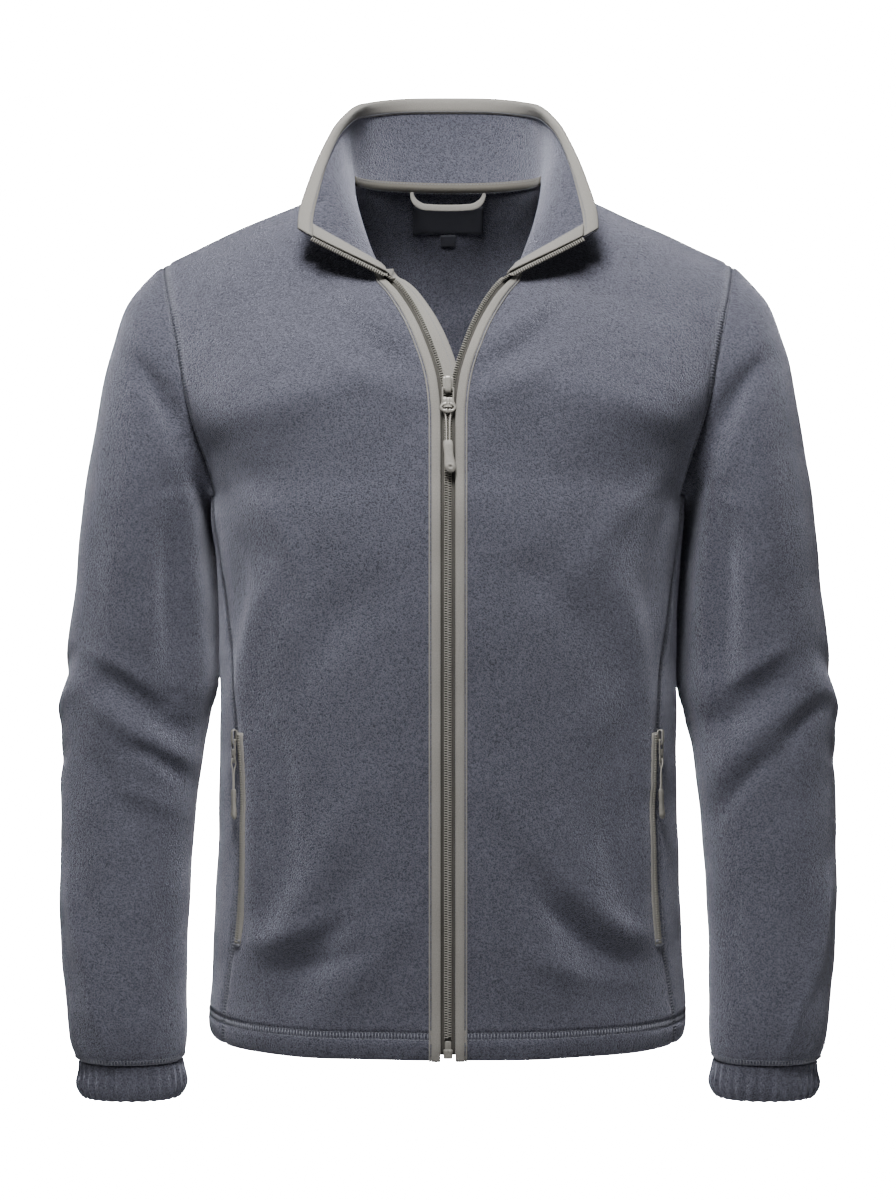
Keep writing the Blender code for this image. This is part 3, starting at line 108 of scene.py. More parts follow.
# Rows of the back above the armpit: the armhole, a line below the neck point, and centre back (y, z)
backYoke = table("at arm armWay mid midOut midIn centre", [
    (470, (200, 59, -203), (-0.45, 0.88, 0.06), (77, 128, -192), (0.99, -0.12, 0), (-0.99, 0.1, 0.02),
     (134, -190)),
    (505, (207.4, 64, -172), (-0.56, 0.81, 0.12), (77, 126, -150), (0.99, -0.14, -0.03), (-0.99, 0.1, 0.03),
     (133, -146)),
    (538, (213.5, 58, -142), (-0.7, 0.66, 0.22), (77, 116, -106), (0.98, -0.16, -0.1), (-0.98, 0.14, 0.06),
     (125, -98)),
    (570, (220.5, 42, -108), (-0.84, 0.38, 0.36), (77, 92, -62), (0.96, -0.12, -0.24), (-0.95, 0.28, 0.1),
     (108, -51)),
    (606, (226, 22, -83), (-0.9, 0.14, 0.41), (76.8, 46, -21), (0.93, -0.05, -0.34), (-0.75, 0.65, 0.06),
     (84, -20)),
    (640, (229, 0, -67), (-0.9, 0, 0.43), (76.6, 0, 0), (0.92, 0, -0.38), (-0.04, 1, 0), (62, 1)),
])
backMidAt = 0.66  # where the line below the neck point meets the back's quarter
backPulls = (0.36, 0.36, 0.40, 0.42)

# Sleeve rings below the armhole seam: outer and inner points (x, z), half depth, middle and roundness
sleeveRings = table("at outer inner halfDepth y power", [
    (26, (251.5, -92), (191.6, -259), 62, 0, 2.1),
    (60, (268.5, -133), (192.8, -274), 65, 0, 2.1),
    (105, (280, -190), (192, -296), 65.5, 0, 2.15),
    (155, (290.6, -252), (190, -326), 65, 1, 2.15),
    (205, (298, -318), (188.4, -360), 63.5, 3, 2.15),
    (255, (306.4, -382), (187.6, -397), 61, 4, 2.2),
    (300, (310.4, -430), (193.6, -434), 59, 4, 2.2),
    (345, (310.4, -478), (199.2, -478), 56.5, 1, 2.2),
    (400, (308.9, -533), (204.4, -533), 53, -8, 2.2),
    (450, (307.2, -583), (206.4, -583), 50, -18, 2.2),
    (500, (304, -633), (207, -633), 47, -29, 2.2),
    (535, (301, -667), (206.6, -667), 44, -36, 2.2),
    (553, (297.5, -685), (207.4, -685), 40, -39, 2.25),
    (563, (293, -694.5), (209.4, -694.5), 35, -40, 2.3),
])
cuffRings = table("at outer inner halfDepth y power swell", [
    (0, (292.8, -694.8), (209.6, -694.8), 34.8, -40, 2.3, 0.05),
    (6, (292.4, -701), (208.8, -701), 33.5, -40.5, 2.25, 0.55),
    (17, (293.8, -712), (207.4, -712), 33, -41.5, 2.25, 1.35),
    (28, (289, -723.5), (211.6, -723.5), 29.5, -42.5, 2.25, 0.7),
])

# The collar's top edge from the front tip to centre back, and how far its middle swells
collarEdge = table("share top swell", [
    (0, (114.3, -80, -45), (-1.7, -5.5, -1.6)),
    (0.09, (113.2, -74, -29), (-2.2, -6.5, -1)),
    (0.18, (107.4, -66, -8.8), (-2, -7, 0)),
    (0.27, (100, -57, 13), (0, -6, 1)),
    (0.37, (90.4, -40, 36.5), (2, -4, 2)),
    (0.47, (80.5, -20, 51.2), (4, -2, 1)),
    (0.57, (73, 6, 60.5), (4, 1, 0)),
    (0.7, (62, 37, 67), (3, 3, 0)),
    (0.84, (38, 60, 72), (1, 4, 0)),
    (1, (0, 68, 73.5), (0, 4, 0)),
])
bindingFrom = 0.845  # share of the collar's height

# Creases, by the side that they are seen from: x and z, or y and z from a side, of a
# start, a middle and an end, the breadth, and the height, over 0 for a ridge and under 0 for a
# trough. The wearer's right is at x below 0.
folds = {"front": [
    # body, beside the pockets
    (-132, -312, -157, -380, -151, -470, 10, 5),
    (-151, -440, -150, -520, -148, -610, 7, 4.2),
    (126, -300, 146, -375, 153, -470, 10, 5),
    (151, -440, 150, -520, 148, -610, 7, 4.2),
    (-140, -420, -124, -470, -128, -560, 9, -3.2),
    (140, -410, 122, -470, 130, -560, 9, -3.2),
    (-152, -590, -110, -580, -62, -548, 9, 4.1),
    (-146, -612, -100, -606, -48, -586, 8, -3.2),
    (150, -588, 112, -566, 72, -520, 9, 4.1),
    (148, -606, 108, -590, 64, -548, 8, -3.6),
    (140, -622, 96, -612, 52, -590, 9, 2.9),
    (-150, -604, -112, -560, -68, -466, 14, 5),
    (-130, -642, -94, -588, -48, -500, 13, -5.5),
    (-100, -652, -66, -612, -30, -556, 12, 3.5),
    (148, -598, 114, -556, 74, -478, 14, 4.4),
    (130, -634, 98, -588, 52, -516, 13, -4.8),
    # body, from the collar and the zip
    (30, -140, 62, -112, 104, -72, 14, 4.6),
    (-30, -140, -60, -110, -96, -74, 14, 4.6),
    (24, -152, 58, -132, 98, -92, 7, -3.5),
    (-24, -152, -58, -130, -94, -92, 7, -3),
    (16, -176, 60, -158, 118, -116, 9, 2.9),
    (-16, -180, -64, -160, -120, -120, 9, 2.5),
    (40, -300, 92, -332, 128, -408, 16, -3.2),
    (-40, -310, -88, -346, -120, -420, 16, -3.2),
    (34, -470, 64, -520, 70, -600, 13, 2.5),
    (-36, -480, -62, -530, -74, -610, 13, 2.5),
    (170, -232, 132, -262, 96, -318, 11, 3.2),
    (-172, -236, -136, -266, -104, -322, 11, 3.2),
    (176, -252, 158, -300, 160, -360, 8, -2.9),
    (-176, -256, -160, -304, -164, -364, 8, -2.9),
    # sleeves, front
    (-248, -142, -226, -168, -208, -205, 9, -8.4),
    (248, -142, 226, -168, 208, -205, 9, -8.4),
    (-205, -236, -198, -292, -197, -352, 5, 3.4),
    (205, -236, 198, -292, 197, -352, 5, 3.4),
    (-216, -246, -213, -330, -216, -430, 17, -13),
    (216, -250, 213, -330, 216, -424, 17, -12),
    (-238, -176, -246, -236, -250, -300, 12, 2.5),
    (240, -180, 250, -240, 254, -300, 12, 2.5),
    (-286, -250, -276, -300, -284, -356, 10, -2),
    (-280, -386, -240, -412, -198, -446, 14, -6.4),
    (-288, -404, -244, -434, -204, -462, 11, 4.4),
    (-250, -446, -226, -456, -204, -478, 7, -5.6),
    (-290, -372, -256, -384, -226, -408, 7, 2.8),
    (-262, -480, -236, -486, -210, -502, 8, 2.5),
    (-288, -452, -264, -476, -240, -520, 10, -2.2),
    (272, -384, 236, -410, 204, -436, 14, -6.8),
    (286, -402, 240, -440, 204, -484, 11, 4.4),
    (300, -414, 276, -430, 262, -462, 8, -4.2),
    (258, -452, 232, -474, 206, -514, 7, -3.6),
    (270, -366, 244, -380, 216, -400, 7, 2.8),
    (-302, -542, -292, -590, -280, -632, 8, 4.9),
    (304, -548, 294, -590, 284, -634, 8, 4.9),
    (-226, -560, -222, -600, -232, -650, 8, -2),
    (226, -556, 224, -600, 234, -652, 8, -2),
    (-286, -628, -274, -660, -262, -692, 5, 2.5),
    (286, -622, 272, -656, 262, -692, 5, 2.8),
], "back": [
    (-276, -400, -244, -420, -206, -430, 11, -7.2),
    (276, -396, 242, -424, 206, -434, 11, -7.2),
    (-284, -424, -246, -446, -208, -452, 8, 3.6),
    (284, -420, 244, -448, 208, -458, 8, 3.6),
    (-150, -200, -110, -290, -40, -350, 20, 4.2),
    (150, -190, 104, -280, 30, -340, 20, 4.2),
    (-120, -420, -30, -452, 90, -430, 16, -4.2),
    (-96, -452, -10, -484, 104, -462, 11, 2.6),
    (-168, -236, -140, -310, -120, -392, 11, -2.4),
    (168, -232, 142, -300, 126, -384, 11, -2.4),
    (-60, -92, 0, -104, 64, -90, 12, -1.9),
    (-206, -170, -176, -214, -160, -270, 9, 2.6),
    (206, -170, 178, -210, 164, -262, 9, 2.6),
    (-250, -150, -226, -182, -208, -220, 9, -4.8),
    (250, -150, 226, -182, 208, -220, 9, -4.8),
    (-300, -530, -290, -580, -276, -640, 9, 3.1),
    (300, -534, 288, -584, 276, -640, 9, 3.1),
    (-120, -560, -96, -600, -90, -650, 12, 1.9),
    (130, -548, 104, -590, 96, -650, 12, 1.9),
], "flank": [  # the body beside the sleeve
    (18, -215, 18, -310, 18, -422, 12, -3),
], "inner": [  # the sleeve beside the body
    (18, -200, 18, -315, 18, -430, 14, 8),
], "side": [  # the sleeve's outside
    (-44, -366, 0, -394, 44, -404, 10, -3.1),
    (-44, -392, -2, -420, 44, -428, 9, 2.6),
    (-40, -440, -6, -462, 34, -470, 9, -1.9),
    (-20, -520, -30, -580, -42, -640, 9, 2.2),
    (20, -150, 8, -220, 14, -300, 14, 1.9),
]}


# Curves and grids

def smoothCurve(stations, values, at):
    # Cubic pieces through the values; each slope is the weighted mean of the two chords beside it,
    # kept under three times the flatter one, so that the curve doesn't overshoot.
    s = np.asarray(stations, float)
    v = np.asarray(values, float).reshape(len(s), -1)
    step = np.diff(s)[:, None]
    slope = np.diff(v, axis=0) / step
    m = np.empty_like(v)
    m[1:-1] = (slope[:-1] * step[1:] + slope[1:] * step[:-1]) / (step[:-1] + step[1:])
    limit = 3 * np.minimum(np.abs(slope[:-1]), np.abs(slope[1:]))
    limit[slope[:-1] * slope[1:] <= 0] = 0.0
    m[1:-1] = np.clip(m[1:-1], -limit, limit)
    m[0] = 1.5 * slope[0] - 0.5 * m[1]
    m[-1] = 1.5 * slope[-1] - 0.5 * m[-2]
    at = np.asarray(at, float)
    i = np.clip(np.searchsorted(s, at, side="right") - 1, 0, len(s) - 2)
    h = step[i]
    t = ((at - s[i]) / h[:, 0])[:, None]
    out = (v[i] * (2 * t**3 - 3 * t**2 + 1) + v[i + 1] * (3 * t**2 - 2 * t**3)
           + m[i] * h * (t**3 - 2 * t**2 + t) + m[i + 1] * h * (t**3 - t**2))
    return out.reshape((len(at),) + np.asarray(values, float).shape[1:])


def unit(vectors):
    return vectors / np.maximum(np.linalg.norm(vectors, axis=-1, keepdims=True), 1e-9)


def squareTo(vectors, along):
    # unit vectors: what is left of the first ones square to the second
    return unit(vectors - (vectors * along).sum(axis=-1, keepdims=True) * along)


def ease(x):
    return x**2 * (3 - 2 * x)


def turns(count):
    return (np.arange(count) + 0.5) * 2 * math.pi / count


def superellipse(turn, power, sinePower=None):
    # cosine and sine of a turn, each with its size raised to a power
    c, s = np.cos(turn), np.sin(turn)
    sinePower = power if sinePower is None else sinePower
    return np.sign(c) * np.abs(c) ** power, np.sign(s) * np.abs(s) ** sinePower


def runOf(points):
    # distance along a line of points, from its start
    return np.r_[0, np.cumsum(np.linalg.norm(np.diff(points, axis=0), axis=1))]


def runAcross(grid):
    # each point's distance from the grid's first column, along its row
    return np.pad(np.cumsum(np.linalg.norm(np.diff(grid, axis=1), axis=2), axis=1), ((0, 0), (1, 0)))


def readAlong(at, run, values):
    # what is kept along a line, read at other distances
    return np.stack([np.interp(at, run, values[:, k]) for k in range(3)], axis=1)


def bezier(ctrl, t):
    # a cubic with four control points, read at t from 0 to 1
    t = np.asarray(t, float)[:, None]
    return (1 - t)**3 * ctrl[0] + 3 * t * (1 - t)**2 * ctrl[1] + 3 * t**2 * (1 - t) * ctrl[2] + t**3 * ctrl[3]


def rowPoints(cubics, places):
    # a row of points on each cubic, at the distances that places(length) gives
    rows = []
    for ctrl in cubics:
        fine = bezier(ctrl, np.linspace(0, 1, 161))
        run = runOf(fine)
        rows.append(readAlong(places(run[-1]), run, fine))
    return np.array(rows)


def spaced(length, count, near, far):
    # distances from 0 to length: close together at the seams, even between
    inner = np.linspace(near[-1], length - far[-1], count)
    return np.r_[near[:-1], inner, length - far[-2::-1]]


seamSteps = np.array([0.0, 0.7, 1.5, 2.4, 3.8, 5.4, 6.6, 7.8, 9.8])
plainSteps = np.array([0.0, 1.6])
hemSteps = np.r_[0.0, 0.8, 2.0, 4.5, 8.0, 12.0, 15.5, 17.0, 18.0, 19.0, 20.6, 22.4, 23.4, 24.4, 26.2]
armpitAt, cornerAt, shoulderAt = 430, 566, 640  # places up the front and back
# grid lines between the close ones: up the panels, and across the fronts and the side's two halves
counts = {"torso": 118, "yoke": 42, "neck": 20, "sleeve": 162, "collar": 24,
          "across": 40, "tail": 20, "head": 16}
torsoRows = spaced(armpitAt, counts["torso"], hemSteps, plainSteps)
upperRows = np.r_[armpitAt + spaced(cornerAt - armpitAt, counts["yoke"], plainSteps, plainSteps)[1:],
                  cornerAt + spaced(shoulderAt - cornerAt, counts["neck"], plainSteps, seamSteps)[1:]]
panelRows = np.r_[torsoRows, upperRows]
armpitRow = len(torsoRows) - 1
cornerRow = int(np.argmin(np.abs(panelRows - cornerAt)))
sleeveRows = spaced(sleeveRings[-1]["at"], counts["sleeve"], seamSteps, seamSteps)
collarRows = np.r_[0, 0.007, 0.015, 0.024, 0.04, 0.065, np.linspace(0.09, 0.8, counts["collar"]),
                   0.83, bindingFrom, 0.9, 0.95, 1.0]
neckColumns = 24  # of half the back, along the neck seam


def quarterCtrl(section):
    # control points of a section's front and back quarter, from the centre line to the side
    a, f, b = section["halfWidth"], section["front"], section["back"]
    z0, z1, z2 = section["z"]
    front = np.array([(0, -f, z0), (frontFullness * a, -f, z0), (a, -frontFullness * f, z1), (a, 0, z1)])
    back = np.array([(a, 0, z1), (a, backFullness * b, z1), (backFullness * a, b, z2), (0, b, z2)])
    return front, back


def yokeCtrl(start, startWay, startPull, end, endWay, endPull):
    chord = np.linalg.norm(end - start)
    return np.array([start, start + unit(startWay) * chord * startPull,
                     end + unit(endWay) * chord * endPull, end])


def splitCubic(ctrl, start, end):
    # the control points of the part of a cubic between two parameters
    def polar(a, b, c):
        q = ctrl[:-1] * (1 - a) + ctrl[1:] * a
        q = q[:-1] * (1 - b) + q[1:] * b
        return q[0] * (1 - c) + q[1] * c
    return np.array([polar(start, start, start), polar(start, start, end), polar(start, end, end),
                     polar(end, end, end)])


def bodyPanels():
    # Each row of a panel is one cubic. The cubics' control points run smoothly from section to
    # section, and the row's points lie at even distances on it.
    fronts, backsOuter, backsInner, tails, heads = [], [], [], [], []
    for section in bodySections:
        front, back = quarterCtrl(section)
        frontSeam, backSeam = section["frontSeam"], section["backSeam"]
        opening = cloth["halfOpening"] / (3 * frontFullness * section["halfWidth"])
        fronts.append(splitCubic(front, opening, frontSeam))
        tails.append(splitCubic(front, frontSeam, 1.0))
        heads.append(splitCubic(back, 0.0, backSeam))
        backsOuter.append(splitCubic(back, backSeam, backMidAt))
        backsInner.append(splitCubic(back, backMidAt, 1.0))
    for row in frontYoke:
        fronts.append(yokeCtrl(*(np.array(value, float) for value in list(row.values())[1:])))
    for row in backYoke:
        arm, armWay, mid, midOut, midIn = (np.array(value, float) for value in list(row.values())[1:6])
        centre = np.array((0.0, *row["centre"]))
        backsOuter.append(yokeCtrl(arm, armWay, backPulls[0], mid, midOut, backPulls[1]))
        backsInner.append(yokeCtrl(mid, midIn, backPulls[2], centre, np.array((1.0, 0, 0)), backPulls[3]))
    at = column(bodySections, "at")
    frontAt, backAt = np.r_[at, column(frontYoke, "at")], np.r_[at, column(backYoke, "at")]
    front = rowPoints(smoothCurve(frontAt, fronts, panelRows),
                      lambda run: spaced(run, counts["across"], seamSteps, seamSteps))
    outer = rowPoints(smoothCurve(backAt, backsOuter, panelRows),
                      lambda run: spaced(run, counts["across"], seamSteps, plainSteps))
    outer[-1] = shoulderMatch(front[-1], outer[-1])
    inner = rowPoints(smoothCurve(backAt, backsInner, panelRows),
                      lambda run: run * np.linspace(0, 1, neckColumns + 1))
    back = np.concatenate([outer, inner[:, 1:]], axis=1)
    # the side panel's two halves, their points closer together towards its seams
    tailShares, headShares = np.linspace(0, 1, counts["tail"]), np.linspace(1, 0, counts["head"])
    tail = rowPoints(smoothCurve(at, tails, torsoRows), lambda run: run * tailShares ** 1.3)
    head = rowPoints(smoothCurve(at, heads, torsoRows), lambda run: run * (1 - headShares ** 1.3))
    side = np.concatenate([tail, head[:, 1:]], axis=1)
    side[:, 0] = front[:armpitRow + 1, -1]
    side[:, -1] = back[:armpitRow + 1, 0]
    return front, side, back


def shoulderMatch(frontRow, backRow):
    # the back's shoulder row lies on the front's, at the back's own spacing
    line = frontRow[::-1]
    run, backRun = runOf(line), runOf(backRow)
    return readAlong(backRun * run[-1] / backRun[-1], run, line)


def ringGrid(rings, turn):
    # superellipse rings: inner point at turn 0, front at a quarter turn, outer at a half turn
    outer, inner = column(rings, "outer"), column(rings, "inner")
    c, s = superellipse(turn, 2 / column(rings, "power")[:, None])
    half, middle = (outer - inner) / 2, (outer + inner) / 2
    y = column(rings, "y")[:, None] - column(rings, "halfDepth")[:, None] * s
    return np.stack([middle[:, :1] - half[:, :1] * c, y, middle[:, 1:] - half[:, 1:] * c], axis=2)


def sleeveGrid(front, side, back):
    # from the armhole's own points, up the front, over the shoulder and down the back, to the cuff
    middle = side.shape[1] // 2
    top = side[-1]
    loop = np.concatenate([top[middle::-1], front[armpitRow + 1:, -1], back[-2:armpitRow:-1, 0],
                           top[:middle:-1]])
    run = runOf(np.vstack([loop, loop[:1]]))
    tip = run[int(np.argmax(loop[:, 2]))]
    turn = np.interp(run[:-1], [0, tip, run[-1]], [0, math.pi, 2 * math.pi])[None, :]
    rings = np.concatenate([loop[None], ringGrid(sleeveRings, turn)])
    return smoothCurve(np.r_[0.0, column(sleeveRings, "at")], rings, sleeveRows)


def collarGrid(front, back):
    # straight lines from the neck seam to the top edge, swollen outwards most at half height
    seam = np.concatenate([front[cornerRow:, 0], back[-1, -neckColumns:]])
    run = runOf(seam)
    at = column(collarEdge, "share")
    top, swell = (smoothCurve(at, column(collarEdge, name), run / run[-1]) for name in ("top", "swell"))
    w = collarRows[:, None, None]
    return seam + (top - seam) * w + swell * 4 * w * (1 - w)


def mirrored(grid):
    return grid * np.array([-1.0, 1.0, 1.0])


# Folds, seams and walls

# two slow waves: their height, and for each sine two lengths along the axes and a shift
waves = [(0.55, (23, 41, 0.7), (29, -37, 0)), (0.45, (13.5, -19, 1.9), (17, 21, 0.4))]
# points along a fold's line, how its ends and its fading are held, how soon a fold shows on cloth that
# turns to face its way, and how far out the sleeves lie
folding = {"steps": 33, "ends": (0.04, 0.96), "fade": 0.6, "turn": 1.6, "sleeveFrom": 200}


def foldHeight(points, normals):
    # The sum of the creases, each a bell across its own line that fades to both ends, and of slow
    # waves that keep the filled cloth from looking cast.
    x, y, z = points[..., 0], points[..., 1], points[..., 2]
    total = sum(high * np.sin(x / a + z / b + c) * np.sin(z / d + y / e + f)
                for high, (a, b, c), (d, e, f) in waves)
    t = np.linspace(0, 1, folding["steps"])[:, None]
    outward = np.sign(x) * normals[..., 0]
    onSleeve = np.abs(x) > folding["sleeveFrom"]  # further in, what faces outward is the body's flank
    facings = {"front": -normals[..., 1], "back": normals[..., 1], "inner": -outward,
               "side": outward * onSleeve, "flank": outward * ~onSleeve}
    for face, rows in folds.items():
        flat = np.stack([x if face in ("front", "back") else y, z], axis=-1)
        for *places, breadth, height in rows:
            a, b, c = np.array(places, float).reshape(3, 2)
            line = a * (1 - t) ** 2 + 2 * (2 * b - 0.5 * a - 0.5 * c) * t * (1 - t) + c * t**2
            low, high = line.min(axis=0) - 3 * breadth, line.max(axis=0) + 3 * breadth
            near = ((flat > low) & (flat < high)).all(axis=-1)
            if not near.any():
                continue
            away = np.linalg.norm(flat[near][:, None, :] - line, axis=-1)
            share = np.clip(away.argmin(axis=-1) / (len(t) - 1), *folding["ends"])
            fade = np.sin(np.pi * share) ** folding["fade"]
            bell = np.exp(-(away.min(axis=-1) / breadth) ** 2)
            total[near] += height * bell * fade * np.clip(facings[face][near] * folding["turn"], 0, 1)
    return total


def sharedNormals(grids, closed):
    # normals of every grid, averaged where grids share points, so that a seam has one normal
    spots, pushes = [], []
    for name, g in grids.items():
        if closed[name]:
            g = np.concatenate([g, g[:, :1]], axis=1)
        face = np.cross(g[:-1, 1:] - g[1:, :-1], g[1:, 1:] - g[:-1, :-1])
        for corner in (g[:-1, :-1], g[1:, :-1], g[:-1, 1:], g[1:, 1:]):
            spots.append(corner.reshape(-1, 3))
            pushes.append(face.reshape(-1, 3))
    keys = np.round(np.concatenate(spots), 3)
    _, inverse = np.unique(keys, axis=0, return_inverse=True)
    inverse = inverse.reshape(-1)
    pushes = np.concatenate(pushes)
    total = unit(np.stack([np.bincount(inverse, pushes[:, k]) for k in range(3)], axis=1))
    result, start = {}, 0
    for name, g in grids.items():
        rows, cols = g.shape[:2]
        count = cols if closed[name] else cols - 1
        faces = (rows - 1) * count
        index = inverse[start:start + 4 * faces].reshape(4, rows - 1, count)
        n = np.zeros_like(g)
        n[:-1, :count] = total[index[0]]
        n[1:, :count] = total[index[1]]
        if not closed[name]:
            n[:-1, 1:] = total[index[2]]
            n[1:, 1:] = total[index[3]]
        result[name] = n
        start += 4 * faces
    return result


def borderMove(border, inward, normals, closed):
    # half a seam's gap, square to the seam and to the normal that both its sides share
    line = np.roll(border, -1, axis=0) - np.roll(border, 1, axis=0) if closed else np.gradient(border, axis=0)
    square = unit(np.cross(normals, unit(line)))
    return square * np.sign((square * (inward - border)).sum(axis=-1, keepdims=True)) * cloth["seamGap"] / 2


def drawBack(grid, normals, closed):
    out = grid.copy()
    out[0] += borderMove(grid[0], grid[3], normals[0], closed)
    out[-1] += borderMove(grid[-1], grid[-4], normals[-1], closed)
    if not closed:
        out[:, 0] += borderMove(grid[:, 0], grid[:, 3], normals[:, 0], False)
        out[:, -1] += borderMove(grid[:, -1], grid[:, -4], normals[:, -1], False)
    return out


def seamDistances(grid):
    # each point's distance from the first and last row and column, along the grid's own lines
    up, across = runAcross(grid.swapaxes(0, 1)).T, runAcross(grid)
    return {"low": up, "high": up[-1] - up, "first": across, "last": across[:, -1:] - across}


# what topstitching presses into the cloth: depths and widths of the furrow and of the trough, and
# the share of those depths that is used
press = {"share": 0.75, "furrow": 1.35, "furrowWidth": 1.0, "trough": 1.25, "troughEdge": 0.8}


def seamRelief(grid, seams, above=0):
    # How a sewn edge turns in, as a falling exponential of its distance, and what its topstitching
    # presses in: a thin furrow for each row and a flat trough between the two.
    # On the front panels the side borders are topstitched only from the armpit's row up.
    away = seamDistances(grid)
    total = np.zeros(grid.shape[:2])
    for side, rows in seams.items():
        d = away[side]
        firstRow = above if side in ("first", "last") else 0
        pressed = press["share"] * (np.arange(len(grid))[:, None] >= firstRow)
        total -= cloth["rollDepth"] * np.exp(-d / cloth["rollWidth"])
        for row in rows:
            total -= (d > 0) * pressed * press["furrow"] * np.exp(-((d - row) / press["furrowWidth"]) ** 2)
        if rows:
            near, far = (np.clip(gap / press["troughEdge"], 0, 1) for gap in (d - rows[0], rows[1] - d))
            total -= press["trough"] * pressed * near * far
    return total


# Meshes

def gridQuads(rows, cols, closed):
    c = np.arange(cols if closed else cols - 1)
    r = np.arange(rows - 1)
    a = (r[:, None] * cols + c).ravel()
    b = (r[:, None] * cols + (c + 1) % cols).ravel()
    return np.stack([a, a + cols, b + cols, b], 1)


def wallQuads(rows, cols, closed=False):
    # a closed wall between an outer and an inner grid of the same size
    count = rows * cols
    quads = gridQuads(rows, cols, closed)
    parts = [quads, quads[:, ::-1] + count]
    index = np.arange(count).reshape(rows, cols)
    borders = [index[0], index[-1, ::-1]]
    if closed:
        borders = [np.append(index[0], index[0, 0]), np.append(index[-1], index[-1, 0])[::-1]]
    else:
        borders += [index[::-1, 0], index[:, -1]]
    for border in borders:
        a, b = border[:-1], border[1:]
        parts.append(np.stack([a, b, b + count, a + count], 1))
    return np.concatenate(parts)


def loftQuads(rows, cols):
    # a solid lofted through rings of an even number of points, its ends cut across in pairs
    j = np.arange(cols // 2 - 1)
    cap = np.stack([j, j + 1, cols - 2 - j, cols - 1 - j], 1)
    return np.concatenate([gridQuads(rows, cols, True), cap, cap[:, ::-1] + (rows - 1) * cols])


def volume(points, quads):
    # six times what a closed mesh holds, below 0 where it is inside out
    c = points[quads]
    return np.einsum("ij,ij->", c[:, 0], np.cross(c[:, 1] - c[:, 0], c[:, 2] - c[:, 0]))


def addObject(name, data):
    obj = bpy.data.objects.new(name, data)
    bpy.context.scene.collection.objects.link(obj)
    return obj


def addPiece(name, points, quads, finish, body=jacket, replaces=(), uv=None):
    points = points.reshape(-1, 3) * mm
    if volume(points, quads) < 0:
        quads = quads[:, ::-1]
    mesh = bpy.data.meshes.new(name)
    mesh.vertices.add(len(points))
    mesh.vertices.foreach_set("co", points.astype(np.float32).ravel())
    mesh.loops.add(quads.size)
    mesh.loops.foreach_set("vertex_index", quads.astype(np.int32).ravel())
    mesh.polygons.add(len(quads))
    mesh.polygons.foreach_set("loop_start", np.arange(0, quads.size, 4, dtype=np.int32))
    if uv is not None:
        layer = mesh.uv_layers.new(name="cloth")
        layer.data.foreach_set("uv", uv.reshape(-1, 2)[quads.ravel()].astype(np.float32).ravel())
    mesh.update(calc_edges=True)
    mesh.validate()
    mesh.shade_smooth()
    mesh.materials.append(materials[finish])
    obj = addObject(name, mesh)
    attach(obj, body)
    if replaces:
        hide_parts(*replaces)
    return obj


def rowLength(grid):
    return np.linalg.norm(np.diff(grid, axis=1), axis=2).sum(axis=1)


def addCloth(name, outer, inner, closed=False, held="draped"):
    # A wall between two grids, in fleece, in place of the part of that name; its longest line
    # along the cloth is read but not used.
    obj = addPiece(name + "_cloth", np.concatenate([outer.reshape(-1, 3), inner.reshape(-1, 3)]),
                   wallQuads(outer.shape[0], outer.shape[1], closed), "fleece", replaces=[name])
    g = np.concatenate([outer, outer[:, :1]], axis=1) if closed else outer
    tall = rowLength(g.swapaxes(0, 1)).max() * mm


def readAcross(grid, values, distances):
    # values at the given distances from the grid's first column, along each row
    run = runAcross(grid)
    d = np.asarray(distances, float)
    k = np.clip((run[:, None, :] <= d[None, :, None]).sum(axis=2) - 1, 0, run.shape[1] - 2)
    low, high = np.take_along_axis(run, k, axis=1), np.take_along_axis(run, k + 1, axis=1)
    part = ((d - low) / (high - low))[..., None]
    a = np.take_along_axis(values, k[..., None], axis=1)
    b = np.take_along_axis(values, k[..., None] + 1, axis=1)
    return a * (1 - part) + b * part


def linesAt(grid, normals, distances, reach=None):
    # lines at distances from the grid's first column, and the normals along them; where the
    # distances are short, only the first columns are read, reach in all
    near = grid[:, :reach]
    return readAcross(near, near, distances), readAcross(near, normals[:, :reach], distances)


def resample(points, values, spacing):
    # a line read again at even distances, with the values that go along it
    run = runOf(points)
    at = np.linspace(0, run[-1], max(2, int(round(run[-1] / spacing)) + 1))
    return readAlong(at, run, points), readAlong(at, run, values)


def copies(template, quads, origins, xs, ys, zs):
    # the template's points at every origin, on that place's own three axes
    x, y, z = (template[None, :, k, None] for k in range(3))
    points = origins[:, None] + x * xs[:, None] + y * ys[:, None] + z * zs[:, None]
    offsets = np.arange(len(origins))[:, None, None] * len(template)
    return points.reshape(-1, 3), (quads[None] + offsets).reshape(-1, 4)


def addLoft(name, sections, finish, body=jacket, replaces=()):
    # its UV map holds millimetres round each section and along the loft
    around = runAcross(sections)
    along = runOf(sections.mean(axis=1))[:, None] + 0 * around
    return addPiece(name, sections, loftQuads(*sections.shape[:2]), finish, body, replaces,
                    np.stack([around, along], axis=2))


# Sewing thread: short bars lying on the cloth

# pitch, length, width and height of each kind of stitch, and the angle that it makes with its line
stitches = {
    "needle": (2.9, 2.3, 0.6, 0.35, 0), "tape": (2.9, 2.3, 0.45, 0.28, 0),
    "binding": (2.9, 2.3, 0.5, 0.32, 0), "placket": (2.6, 1.6, 0.5, 0.45, 0),
    "tack": (0.62, 2.6, 0.5, 0.5, 1.45),
    "ladder": (2.5, 0.84, 0.9, 1.1, 1.5),  # its length is a share of the gap between the needle rows
}
threadPoints, threadQuads = [], []


